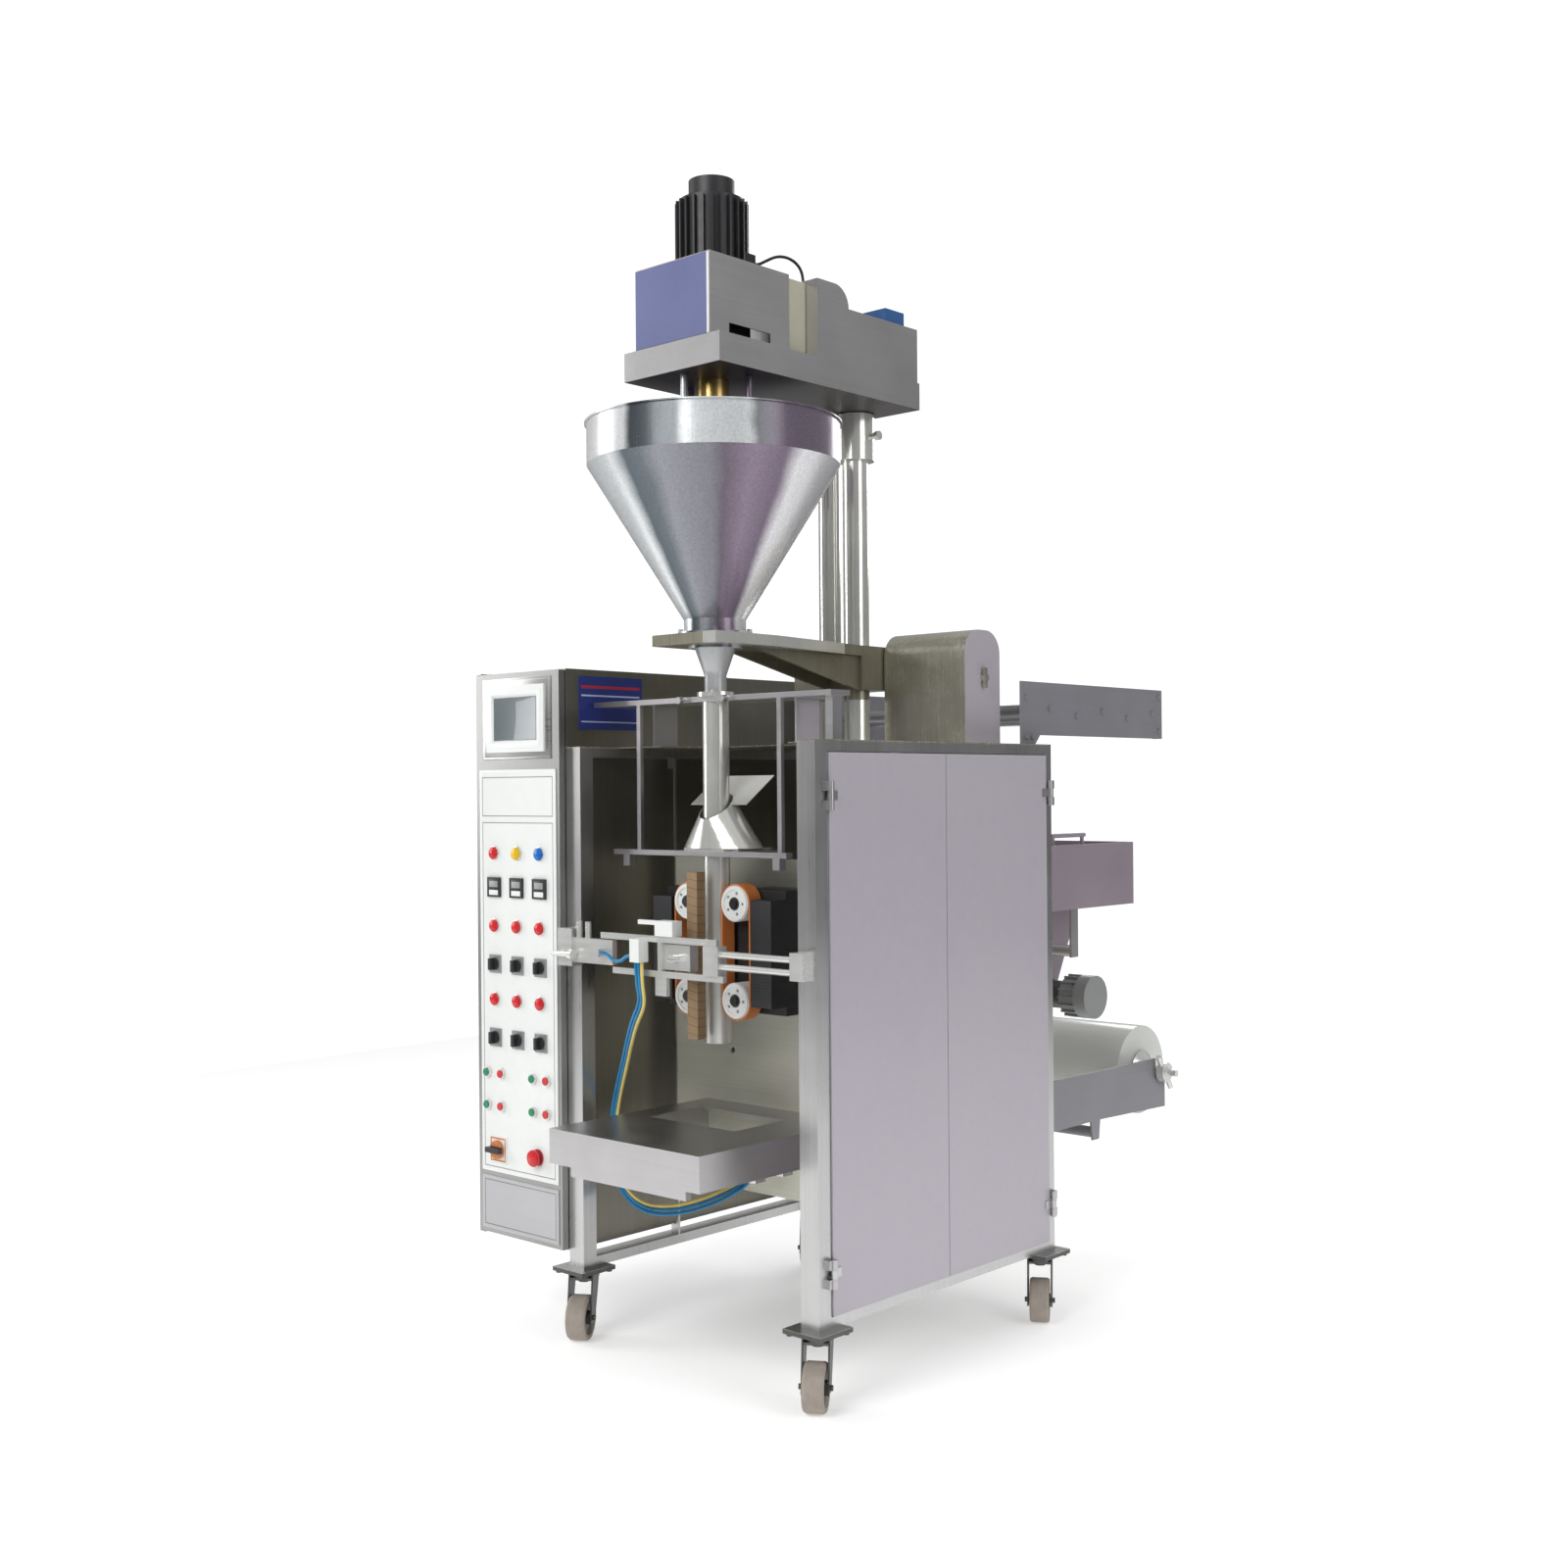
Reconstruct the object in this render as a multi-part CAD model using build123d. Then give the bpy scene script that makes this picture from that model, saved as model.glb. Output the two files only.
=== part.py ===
"""Vertical form fill sealer with an auger filler, as separate named pieces.

Millimetres, X to the machine's right seen from the front, Y to the back, Z up.
Everything is laid out about the forming tube's axis at X = 0; export() then moves
the whole machine so that the origin is the bottom centre of its box.
"""

import os
from math import cos, pi, radians, sin, tan

from build123d import *

# Fits and gaps
run_fit = 0.05          # radial clearance of a shaft, pin or slide
body_gap = 0.5          # between a moving piece and its neighbours
door_gap = 2.0
sheet = 2.5

# Frame
frame_wide = 780.0
frame_front = -428.0
frame_back = 438.0
frame_bottom = 165.0
deck_top = 1386.0
deck_thick = 3.0
post_wide = 50.0
front_post_deep = 40.0
back_post_deep = 25.0
rail_high = 22.0
deck_front = -300.0
deck_cut_wide = 400.0
deck_cut_back = -140.0
wall_y = -120.0         # front face of the upright mechanism plate
wall_top = 1120.0
wall_bottom = 330.0

# Casters
caster_in = 24.0        # caster axis in from the frame's side
caster_front_y = -405.0
caster_back_y = 410.0
wheel_r = 52.0
wheel_wide = 46.0
axle_r = 6.0
caster_trail = 30.0
caster_plate = 104.0
caster_plate_thick = 10.0
swivel_r = 28.0
stem_r = 8.0
caster_turn = -58.0     # heading of the casters at rest, about Z

# Side doors
door_thick = 20.0
door_proud = 4.0
hinge_pin_r = 4.0
hinge_barrel_r = 7.0
hinge_high = 60.0

# Electrical cabinet and its front
cab_wide = 315.0
cab_front = -447.0
cab_back = 450.0
cab_bottom = 200.0
cab_top = 1572.0
cab_door_thick = 18.0
cab_pivot_r = 4.0
cab_pivot_in = 8.0      # pivot from the door's outer corner, along X and Y
face_low = 355.0
face_high = 1335.0
face_thick = 2.0
hmi_wide = 215.0
hmi_high = 161.0
hmi_z = 1457.5
column_pitch = 85.0
lamp_r = 11.0
lamp_rows = (1133.0, 956.0, 777.0)
timer_z = 1050.0
knob_rows = (863.0, 684.0)
button_r = 9.0
button_travel = 4.0
button_ring_deep = 8.0
button_rows = (597.0, 518.0)
button_columns = (-115.0, -62.0, 57.0, 108.0)
switch_x = -78.0
estop_x = 70.0
switch_z = 411.0
estop_travel = 6.0

# Table under the tube
table_half = 235.0
table_front = -617.5
table_top = 536.0
table_rim = 77.0
hole_left = -165.0
hole_right = 105.0
hole_front = -380.0
hole_back = -215.0

# Forming set
tube_y = -320.0
tube_r = 30.0
tube_wall = 2.0
tube_bottom = 715.0
top_plate_z = 1480.0
top_plate_thick = 12.0
low_plate_z = 1134.0
low_plate_thick = 12.0
stay_x = 227.0
stay_wide = 12.0
collar_high = 150.0
wing_wide = 176.0
wing_deep = 112.0

# Belt drives
pulley_r = 40.0
belt_thick = 4.0
belt_wide = 38.0
belt_low = 815.0
belt_high = 1030.0
belt_open = 25.0        # travel of each belt unit
unit_edge = 185.0       # outer side of a closed unit
belt_shaft_r = 6.0
guide_r = 8.0
guide_y = -160.0
guide_zs = (860.0, 985.0)

# Upright sealer
seal_bar_half = 16.0
seal_bar_low = 730.0
seal_bar_high = 1100.0
seal_bar_deep = 26.0
seal_travel = 24.0
seal_rail_y = -452.0
seal_rail_zs = (953.0, 876.0)
seal_rail_high = 14.0
seal_rod_r = 7.0
port_left = -112.0       # left side of the block where the air lines start
elbow_x = -222.0         # face of the elbow that takes the short air loop

# Cross jaws
jaw_z = 450.0
jaw_high = 60.0
jaw_half = 112.0
jaw_deep = 40.0
jaw_open = 20.0         # travel of each jaw
jaw_rod_r = 8.0
jaw_rod_x = 150.0

# Pillars and arm
pillar_y = 175.0
pillar_r = 31.5
pillar2_x = -85.0
pillar2_r = 27.0
post3_x = -150.0
post3_r = 14.5
arm_z = 1605.0
arm_thick = 25.0
clamp_low = 1523.0

# Hopper and auger
hopper_wall = 2.0
hopper_neck_r = 70.0
hopper_neck_top = 1664.0
hopper_r = 285.0
hopper_cone_top = 2009.0
hopper_top = 2104.0
auger_tube_r = 25.0
auger_tube_bottom = 760.0
auger_r = 20.5
auger_shaft_r = 9.0
auger_pitch = 60.0
bridge_z = 2078.0

# Filler head
head_half = 150.0
head_front = -452.0
head_back = 242.0
head_low = 2201.0
head_tray_high = 65.0
box_half = 117.0
box_back = -192.0
box_top = 2446.0
cover_front = -129.0
cover_top = 2396.0
motor_r = 80.0
motor_top = 2606.0
cap_r = 52.0
head_top = 2650.0

# Rear film deck
side_in = 45.0          # outer face of the side plates in from the frame's side
side_thick = 5.0
upper_low = 1410.0
upper_high = 1540.0
film_back = 1040.0
idler_r = 20.0
idler_pin_r = 6.0
idler_y = 985.0
turn_bar_ys = (500.0, 740.0)
turn_bar_r = 14.0
idler_z = 1475.0
box_in = 90.0           # the same for the web frame
webbox_back = 963.0
webbox_low = 970.0
webbox_high = 1135.0
dancer_y = 705.0
dancer_z = 990.0
dancer_drop = 130.0
dancer_r = 15.0
pull_y = 772.0
pull_z = 736.0
pull_r = 28.0
gearmotor_r = 56.0
arm_high_z = 556.0
arm_low_z = 428.0
roll_y = 1008.0
roll_z = 519.0
roll_r = 118.0
roll_in = 55.0          # end of the roll in from the side plates
core_r = 44.0
spindle_r = 15.0
spindle_over = 55.0     # spindle past the side plates

# Hood on the deck
hood_left = 55.0
hood_right = 300.0
hood_front = 215.0
hood_back = 355.0
hood_top = 1660.0
hood_round = 55.0

# Air lines
air_r = 4.0
cable_r = 3.5

# Sizes that follow from those above
frame_half = frame_wide / 2
inner_half = frame_half - post_wide
caster_x = frame_half - caster_in
cab_left = -frame_half - cab_wide
side_x = frame_half - side_in
box_x = frame_half - box_in
roll_half = side_x - roll_in
spindle_end = side_x + spindle_over
rail_top = deck_top - deck_thick
front_in = frame_front + front_post_deep
back_in = frame_back - back_post_deep
door_low = frame_bottom + rail_high + door_gap
door_high = rail_top - rail_high - door_gap
door_split = (front_in + back_in) / 2
panel_x = (cab_left - frame_half) / 2
panel_front = cab_front - face_thick
belt_x = tube_r + body_gap + belt_thick + pulley_r
belt_front = tube_y - belt_wide / 2
seal_face = tube_y - tube_r - body_gap - seal_travel
jaw_rest = jaw_open + body_gap / 2


def block(x0, x1, y0, y1, z0, z1):
    """Box between two corners."""
    return Pos((x0 + x1) / 2, (y0 + y1) / 2, (z0 + z1) / 2) * Box(x1 - x0, y1 - y0, z1 - z0)


def rod(axis, x, y, z, radius, length):
    """Round bar that starts at a point and runs along +X, +Y or +Z."""
    turn = {"x": Rot(0, 90, 0), "y": Rot(-90, 0, 0), "z": Rot(0, 0, 0)}[axis]
    return Pos(x, y, z) * turn * Cylinder(radius, length, align=(Align.CENTER, Align.CENTER, Align.MIN))


def pipe(axis, x, y, z, outer, inner, length):
    return rod(axis, x, y, z, outer, length) - rod(axis, x, y, z, inner, length)


def tube_bar(axis, x0, x1, y0, y1, z0, z1):
    """Hollow rectangular bar, open at both ends of its axis."""
    cut = {"x": (0, sheet, sheet), "y": (sheet, 0, sheet), "z": (sheet, sheet, 0)}[axis]
    inner = block(x0 + cut[0], x1 - cut[0], y0 + cut[1], y1 - cut[1], z0 + cut[2], z1 - cut[2])
    return block(x0, x1, y0, y1, z0, z1) - inner


def hexagon(axis, x, y, z, radius, high):
    turn = {"x": Rot(0, 90, 0), "y": Rot(-90, 0, 0), "z": Rot(0, 0, 0)}[axis]
    return Pos(x, y, z) * turn * extrude(RegularPolygon(radius, 6), high)


def side_plate(x0, x1, outline):
    """Flat plate in a YZ plane from its corner points."""
    face = Plane.YZ * make_face(Polyline(*outline, close=True))
    return Pos(x0, 0, 0) * extrude(face, x1 - x0)


def group(solids):
    flat = []
    for piece in solids:
        flat.extend(piece.solids())
    return Compound(children=flat)


# Frame ---------------------------------------------------------------------


def frame_posts():
    posts = []
    for side in (-1, 1):
        x0, x1 = sorted((side * inner_half, side * frame_half))
        posts.append(tube_bar("z", x0, x1, frame_front, front_in, frame_bottom, rail_top))
        posts.append(tube_bar("z", x0, x1, back_in, frame_back, frame_bottom, rail_top))
    return group(posts)


def frame_rails():
    bars = []
    for side in (-1, 1):
        x0, x1 = sorted((side * inner_half, side * frame_half))
        for z0 in (frame_bottom, rail_top - rail_high):
            bars.append(tube_bar("y", x0, x1, front_in, back_in, z0, z0 + rail_high))
    x0, x1 = -inner_half, inner_half
    for z0 in (frame_bottom, rail_top - rail_high):
        bars.append(tube_bar("x", x0, x1, back_in, frame_back, z0, z0 + rail_high))
    for z0 in (arm_high_z - 50, webbox_high - 60):
        bars.append(tube_bar("x", x0, x1, back_in, frame_back, z0, z0 + 25))
    return group(bars)


def deck_plate():
    plate = block(-frame_half, frame_half, deck_front, frame_back, rail_top, deck_top)
    for side in (-1, 1):
        x0, x1 = sorted((side * inner_half, side * frame_half))
        plate += block(x0, x1, frame_front, deck_front, rail_top, deck_top)
    half = deck_cut_wide / 2
    return plate - block(-half, half, deck_front - 1, deck_cut_back, rail_top - 1, deck_top + 1)


def back_panel():
    y1 = back_in
    return block(-inner_half, inner_half, y1 - sheet, y1, frame_bottom + rail_high, rail_top - rail_high)


def mechanism_plate():
    """Upright plate that carries the belts, the table and the jaws."""
    plate = block(-inner_half, inner_half, wall_y, wall_y + 6, wall_bottom, wall_top)
    plate += block(-inner_half, -inner_half + 30, wall_y + 6, wall_y + 12, wall_bottom, wall_top)
    plate += block(inner_half - 30, inner_half, wall_y + 6, wall_y + 12, wall_bottom, wall_top)
    for x, z in ((150, 660), (215, 655), (105, 600), (265, 690), (250, 600), (-150, 660)):
        plate -= rod("y", x, wall_y - 1, z, 8, 8)
    for x in (-265, 265):
        plate -= block(x - 35, x + 35, wall_y - 1, wall_y + 7, 1060, 1075)
    return plate


def plate_brackets():
    """Angles that tie the mechanism plate to the side rails' height through the posts."""
    ties = []
    for side in (-1, 1):
        x0, x1 = sorted((side * inner_half, side * (inner_half + post_wide / 2)))
        for z0 in (frame_bottom + rail_high, rail_top - rail_high - 25):
            ties.append(block(x0, x1, wall_y, wall_y + 6, z0, z0 + 25))
        x0, x1 = sorted((side * (inner_half + 6), side * inner_half))
        z0, z1 = frame_bottom + rail_high + 25, rail_top - rail_high - 25
        ties.append(block(x0, x1, wall_y, wall_y + 6, z0, z1))
    return group(ties)


# Casters -------------------------------------------------------------------


def caster_places():
    return [(sx * caster_x, y) for y in (caster_front_y, caster_back_y) for sx in (-1, 1)]


def caster_plates():
    """Square top plates with their swivel stems and retaining nuts."""
    solids = []
    for x, y in caster_places():
        half = caster_plate / 2
        plate = block(x - half, x + half, y - half, y + half, frame_bottom - caster_plate_thick, frame_bottom)
        stem_top = frame_bottom - caster_plate_thick
        plate += rod("z", x, y, stem_top - 22, stem_r, 22)
        plate += rod("z", x, y, stem_top - 26, stem_r + 5, 4)
        solids.append(plate)
    return group(solids)


def caster_bolts():
    solids = []
    for x, y in caster_places():
        for dx in (-1, 1):
            for dy in (-1, 1):
                place = (x + dx * caster_plate * 0.4, y + dy * caster_plate * 0.4)
                z = frame_bottom - caster_plate_thick - 5
                solids.append(hexagon("z", *place, z, 7, 5))
    return group(solids)


def caster_fork():
    """One fork about its swivel axis at the origin, heading along -X, with brake lever and axle."""
    top = frame_bottom - caster_plate_thick - 1
    crown = pipe("z", 0, 0, top - 18, swivel_r, stem_r + run_fit, 18)
    crown -= rod("z", 0, 0, top - 26, stem_r + 5.5, 12)
    inner = wheel_wide / 2 + 3
    fork = crown
    for side in (-1, 1):
        leg = Plane.XZ * make_face(Polyline(
            (-26, top - 4), (26, top - 4), (caster_trail + 16, wheel_r - 12),
            (caster_trail - 16, wheel_r - 12), close=True))
        leg = Pos(0, side * (inner + 2) + 2, 0) * extrude(leg, 4)
        fork += leg
    for side in (-1, 1):
        y0, y1 = sorted((side * inner, side * (inner + 4)))
        fork += block(-26, 26, y0, y1, top - 18, top - 4)
    bridge = block(-26, 26, -inner, inner, top - 18, top - 12) - rod("z", 0, 0, top - 40, swivel_r, 40)
    fork += bridge
    fork += rod("y", caster_trail, -inner - 10, wheel_r, axle_r, 2 * inner + 20)
    lever = block(-46, -26, -14, 14, top - 16, top - 12) + block(-58, -46, -18, 18, top - 20, top - 12)
    return fork + lever


def caster_wheel():
    """One wheel about its own centre, axle along Y: tread, rim and hub in one casting."""
    half = wheel_wide / 2
    profile = make_face(Polyline(
        (axle_r + run_fit, -half - 2), (16, -half - 2), (16, -half + 6), (wheel_r - 16, -half + 6),
        (wheel_r - 12, -half), (wheel_r - 3, -half), (wheel_r, -half + 5), (wheel_r, half - 5),
        (wheel_r - 3, half), (wheel_r - 12, half), (wheel_r - 16, half - 6), (16, half - 6),
        (16, half + 2), (axle_r + run_fit, half + 2), close=True))
    return revolve(profile, Axis.Y)


def placed_fork(x, y):
    return Pos(x, y, 0) * Rot(0, 0, caster_turn) * caster_fork()


def placed_wheel(x, y):
    return Pos(x, y, 0) * Rot(0, 0, caster_turn) * Pos(caster_trail, 0, wheel_r) * caster_wheel()


# Side doors ----------------------------------------------------------------


def side_door(y0, y1, hinge_y):
    """Folded door pan with its hinge barrels on the outer face."""
    x1 = frame_half + door_proud
    x0 = x1 - door_thick
    door = block(x0, x1, y0, y1, door_low, door_high)
    door -= block(x0 - 1, x1 - sheet, y0 + sheet, y1 - sheet, door_low + sheet, door_high - sheet)
    for z in hinge_zs():
        barrel = pipe("z", hinge_x(), hinge_y, z + hinge_high / 3 + body_gap, hinge_barrel_r,
                      hinge_pin_r + run_fit, hinge_high / 3 - 2 * body_gap)
        inward = 1 if hinge_y < door_split else -1
        a, b = sorted((hinge_y, hinge_y + inward * 26))
        leaf = block(x1, x1 + 3, a, b, z + hinge_high / 3 + body_gap, z + 2 * hinge_high / 3 - body_gap)
        leaf -= rod("z", hinge_x(), hinge_y, z, hinge_barrel_r - 1, hinge_high)
        door += leaf + barrel
    return door


def hinge_x():
    return frame_half + door_proud + hinge_barrel_r


def hinge_zs():
    return (door_low + 60, door_high - 60 - hinge_high)


def door_hinges():
    """Post halves of the four hinges, each a leaf, two barrels and the pin."""
    solids = []
    for hinge_y, outward in ((front_hinge_y(), -1), (back_hinge_y(), 1)):
        for z in hinge_zs():
            half = rod("z", hinge_x(), hinge_y, z, hinge_pin_r, hinge_high)
            third = hinge_high / 3
            for z0 in (z, z + 2 * third):
                half += rod("z", hinge_x(), hinge_y, z0, hinge_barrel_r, third)
                a, b = sorted((hinge_y, hinge_y + outward * 16))
                half += block(frame_half, hinge_x(), a, b, z0, z0 + third)
            solids.append(half)
    return group(solids)


def front_hinge_y():
    return front_in - 2


def back_hinge_y():
    return back_in + 6


def front_door():
    return side_door(front_in + door_gap, door_split - door_gap / 2, front_hinge_y())


def back_door():
    return side_door(door_split + door_gap / 2, back_in - door_gap, back_hinge_y())


# Cabinet -------------------------------------------------------------------


def cabinet_shell():
    y0 = cab_front + cab_door_thick + 2
    shell = block(cab_left, -frame_half, y0, cab_back, cab_bottom, cab_top)
    shell -= block(cab_left + sheet, -frame_half - sheet, y0 - 1, cab_back - sheet,
                   cab_bottom + sheet, cab_top - sheet)
    for z0, z1 in ((cab_bottom, cab_bottom + sheet), (cab_top - sheet, cab_top)):
        shell += block(cab_left, cab_left + 20, cab_front, y0, z0, z1)
    for z0, high in ((cab_bottom + sheet, 3), (cab_top - sheet - 3, 3)):
        shell += rod("z", *cab_pivot(), z0, cab_pivot_r, high)
    return shell


def cab_pivot():
    return (cab_left + sheet + cab_pivot_in, cab_front + cab_pivot_in + 1)


def cabinet_door():
    """Door pan with the control cut-outs, turning on two short pins."""
    x0, x1 = cab_left + 1, -frame_half - 2
    z0, z1 = cab_bottom + sheet + 0.8, cab_top - sheet - 0.8
    door = block(x0, x1, cab_front, cab_front + cab_door_thick, z0, z1)
    door -= block(x0 + 24, x1 - sheet, cab_front + sheet, cab_front + cab_door_thick + 1, z0 + 24, z1 - 24)
    for z in (z0 - 1, z1 - 4):
        door -= rod("z", *cab_pivot(), z, cab_pivot_r + run_fit, 5)
    for x, z, radius in control_holes():
        door -= rod("y", x, cab_front - 1, z, radius, 5)
    door -= block(panel_x - 90, panel_x + 90, cab_front - 1, cab_front + 4, hmi_z - 60, hmi_z + 60)
    for dx in (-1, 0, 1):
        x = panel_x + dx * column_pitch
        door -= block(x - 21, x + 21, cab_front - 1, cab_front + 4, timer_z - 21, timer_z + 21)
    return door


def lamp_places():
    return [(panel_x + dx * column_pitch, z) for z in lamp_rows for dx in (-1, 0, 1)]


def knob_places():
    return [(panel_x + dx * column_pitch, z) for z in knob_rows for dx in (-1, 0, 1)]


def button_places():
    return [(panel_x + dx, z) for z in button_rows for dx in button_columns]


def control_holes():
    holes = [(x, z, lamp_r - 2) for x, z in lamp_places()]
    holes += [(x, z, 7) for x, z in knob_places()]
    holes += [(x, z, 7) for x, z in button_places()]
    holes += [(panel_x + switch_x, switch_z, 9), (panel_x + estop_x, switch_z, 9)]
    return holes


def panel_face():
    """White legend sheet on the door."""
    face = block(cab_left + 15, -frame_half - 14, panel_front, cab_front, face_low, face_high)
    for x, z, radius in control_holes():
        face -= rod("y", x, panel_front - 1, z, radius, 5)
    for dx in (-1, 0, 1):
        x = panel_x + dx * column_pitch
        face -= block(x - 21, x + 21, panel_front - 1, cab_front + 1, timer_z - 21, timer_z + 21)
    return face


def foot_plate():
    return block(cab_left + 15, -frame_half - 14, panel_front, cab_front, cab_bottom + 14, face_low - 12)


def hmi_bezel():
    x0, x1 = panel_x - hmi_wide / 2, panel_x + hmi_wide / 2
    bezel = block(x0, x1, cab_front - 8, cab_front, hmi_z - hmi_high / 2, hmi_z + hmi_high / 2)
    bezel += block(panel_x - 88, panel_x + 88, cab_front, cab_front + 12, hmi_z - 58, hmi_z + 58)
    return bezel - block(panel_x - 80, panel_x + 80, cab_front - 9, cab_front - 5, hmi_z - 52, hmi_z + 52)


def hmi_screen():
    return block(panel_x - 80, panel_x + 80, cab_front - 6, cab_front - 5, hmi_z - 52, hmi_z + 52)


def lamp(x, z):
    body = rod("y", x, panel_front - 3, z, lamp_r + 2, 3)
    body += rod("y", x, panel_front, z, lamp_r - 2.3, 14)
    return body + rod("y", x, panel_front - 10, z, lamp_r - 1, 7)


def lamps():
    return group([lamp(x, z) for x, z in lamp_places()])


def timers():
    solids = []
    for dx in (-1, 0, 1):
        x = panel_x + dx * column_pitch
        front = block(x - 24, x + 24, panel_front - 6, panel_front, timer_z - 24, timer_z + 24)
        front += block(x - 20.5, x + 20.5, panel_front, cab_front + 60, timer_z - 20.5, timer_z + 20.5)
        solids.append(front)
    return group(solids)


def knob_plates():
    plates = []
    for x, z in knob_places():
        plate = block(x - 22, x + 22, panel_front - 3, panel_front, z - 22, z + 22)
        plates.append(plate - rod("y", x, panel_front - 4, z, 7, 8))
    return group(plates)


def button_rings():
    y = panel_front - button_ring_deep
    inner = button_r + run_fit
    rings = [pipe("y", x, y, z, button_r + 3, inner, button_ring_deep) for x, z in button_places()]
    x, z = panel_x + estop_x, switch_z
    rings.append(pipe("y", x, panel_front - 3, z, 20, 8 + run_fit, 3))
    x = panel_x + switch_x
    plate = block(x - 32, x + 32, panel_front - 3, panel_front, z - 32, z + 32)
    rings.append(plate - rod("y", x, panel_front - 4, z, 9, 6))
    return group(rings)


def knob(x, z):
    """Selector: round base with a raised grip bar and a stem through the door."""
    y = panel_front - 3 - body_gap
    body = rod("y", x, y - 6, z, 15, 6) + rod("y", x, y, z, 7 - 0.1, 22)
    return body + block(x - 4, x + 4, y - 18, y - 6, z - 14, z + 14)


def push_button(x, z):
    """Round cap that stands clear of the door by its travel, on a stem."""
    y0 = panel_front - button_ring_deep - 3
    y1 = panel_front - button_travel - body_gap
    return rod("y", x, y0, z, button_r, y1 - y0) + rod("y", x, y1, z, 6.5, 22)


def estop():
    x, z = panel_x + estop_x, switch_z
    y = panel_front - 3 - estop_travel - body_gap
    body = rod("y", x, y - 14, z, 20, 12) + rod("y", x, y - 2, z, 8, 34)
    return body


def main_switch():
    x, z = panel_x + switch_x, switch_z
    y = panel_front - 3 - body_gap
    body = rod("y", x, y - 8, z, 22, 8) + rod("y", x, y, z, 8.9, 24)
    return body + block(x - 26, x + 26, y - 20, y - 8, z - 6, z + 6)


def control_gear():
    """Mounting plate with drives, controller, power supply, contactors and terminals."""
    y = cab_back - sheet - 60
    x0, x1 = cab_left + 30, -frame_half - 30
    gear = block(x0, x1, y, y + 3, cab_bottom + 60, cab_top - 80)
    for px, pz, wide, high, deep in (
            (x0 + 20, 1250, 90, 180, 140), (x0 + 120, 1250, 90, 180, 140), (x0 + 20, 1060, 200, 100, 80),
            (x0 + 20, 900, 60, 110, 90), (x0 + 90, 900, 45, 90, 80), (x0 + 145, 900, 45, 90, 80),
            (x0 + 20, 700, 220, 60, 60), (x0 + 20, 480, 120, 150, 110)):
        gear += block(px, px + wide, y - deep, y, pz, pz + high)
    return gear


def gear_standoffs():
    x0, x1 = cab_left + 30, -frame_half - 30
    y = cab_back - sheet - 57
    return group([rod("y", x, y, z, 8, 57)
                  for x in (x0 + 12, x1 - 12) for z in (cab_bottom + 80, cab_top - 100)])


def name_plate():
    return block(-frame_half, -frame_half + 1.5, -388, -184, 1429, 1556)


# Table and jaws ------------------------------------------------------------


def table_tray():
    tray = block(-table_half, table_half, table_front, wall_y, table_top - table_rim, table_top)
    tray -= block(-table_half + sheet, table_half - sheet, table_front + sheet, wall_y + 1,
                  table_top - table_rim - 1, table_top - sheet)
    return tray - block(hole_left, hole_right, hole_front, hole_back, table_top - 10, table_top + 1)


def jaw_ys():
    """Inner faces of the open front and rear jaws."""
    return (tube_y - jaw_rest, tube_y + jaw_rest)


def jaw(front):
    """Sealing jaw with a serrated, taped face and two guide bushes."""
    face = jaw_ys()[0] if front else jaw_ys()[1]
    out = -1 if front else 1
    y0, y1 = sorted((face, face + out * jaw_deep))
    z0, z1 = jaw_z - jaw_high / 2, jaw_z + jaw_high / 2
    body = block(-jaw_half, jaw_half, y0, y1, z0, z1)
    for k in range(5):
        z = z0 + 8 + k * 11
        body -= block(-jaw_half - 1, jaw_half + 1, face - 1, face + 1, z, z + 3)
    wide = jaw_rod_x + jaw_rod_r + 10
    y0, y1 = sorted((face + out * 8, face + out * jaw_deep))
    for side in (-1, 1):
        x0, x1 = sorted((side * jaw_half, side * wide))
        body += block(x0, x1, y0, y1, jaw_z - 20, jaw_z + 20)
        body -= rod("y", side * jaw_rod_x, y0 - 1, jaw_z, jaw_rod_r + run_fit, y1 - y0 + 2)
    if not front:
        body += rod("y", 0, y1, jaw_z, 7, 40)
    return body


def jaw_guides():
    """Two rods with their front crossbar, fixed between the tray rim and the plate."""
    y0 = table_front + sheet + 12
    bar = block(-jaw_rod_x - 30, jaw_rod_x + 30, y0, y0 + 16, jaw_z - 16, jaw_z + 16)
    for side in (-1, 1):
        bar += rod("y", side * jaw_rod_x, y0, jaw_z, jaw_rod_r, wall_y - y0)
    hang = block(-40, 40, y0 + 4, y0 + 12, jaw_z + 16, table_top - sheet)
    return bar + hang


def jaw_cylinder():
    y1 = wall_y
    y0 = jaw_ys()[1] + jaw_deep + jaw_open / 2 + 6
    body = block(-28, 28, y0 + 4, y1, jaw_z - 28, jaw_z + 28)
    body -= rod("y", 0, y0 - 1, jaw_z, 7 + run_fit, 80)
    return body + pipe("y", 0, y0, jaw_z, 14, 7 + run_fit, 4)


# Forming set ---------------------------------------------------------------


def former_top_plate():
    z0 = top_plate_z
    plate = block(-frame_half + 14, 250, tube_y - 32, tube_y + 95, z0, z0 + top_plate_thick)
    plate += block(160, frame_half - 20, tube_y - 32, tube_y + 30, z0, z0 + top_plate_thick)
    return plate - rod("z", 0, tube_y, z0 - 1, tube_r, top_plate_thick + 2)


def former_cheeks():
    cheeks = []
    for side in (-1, 1):
        x0, x1 = sorted((side * (stay_x - 6), side * stay_x))
        cheeks.append(block(x0, x1, deck_front, tube_y + 95, deck_top, top_plate_z))
    post = block(frame_half - 46, frame_half - 26, tube_y - 20, tube_y + 10, deck_top, top_plate_z)
    cheeks.append(post)
    return group(cheeks)


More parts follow.
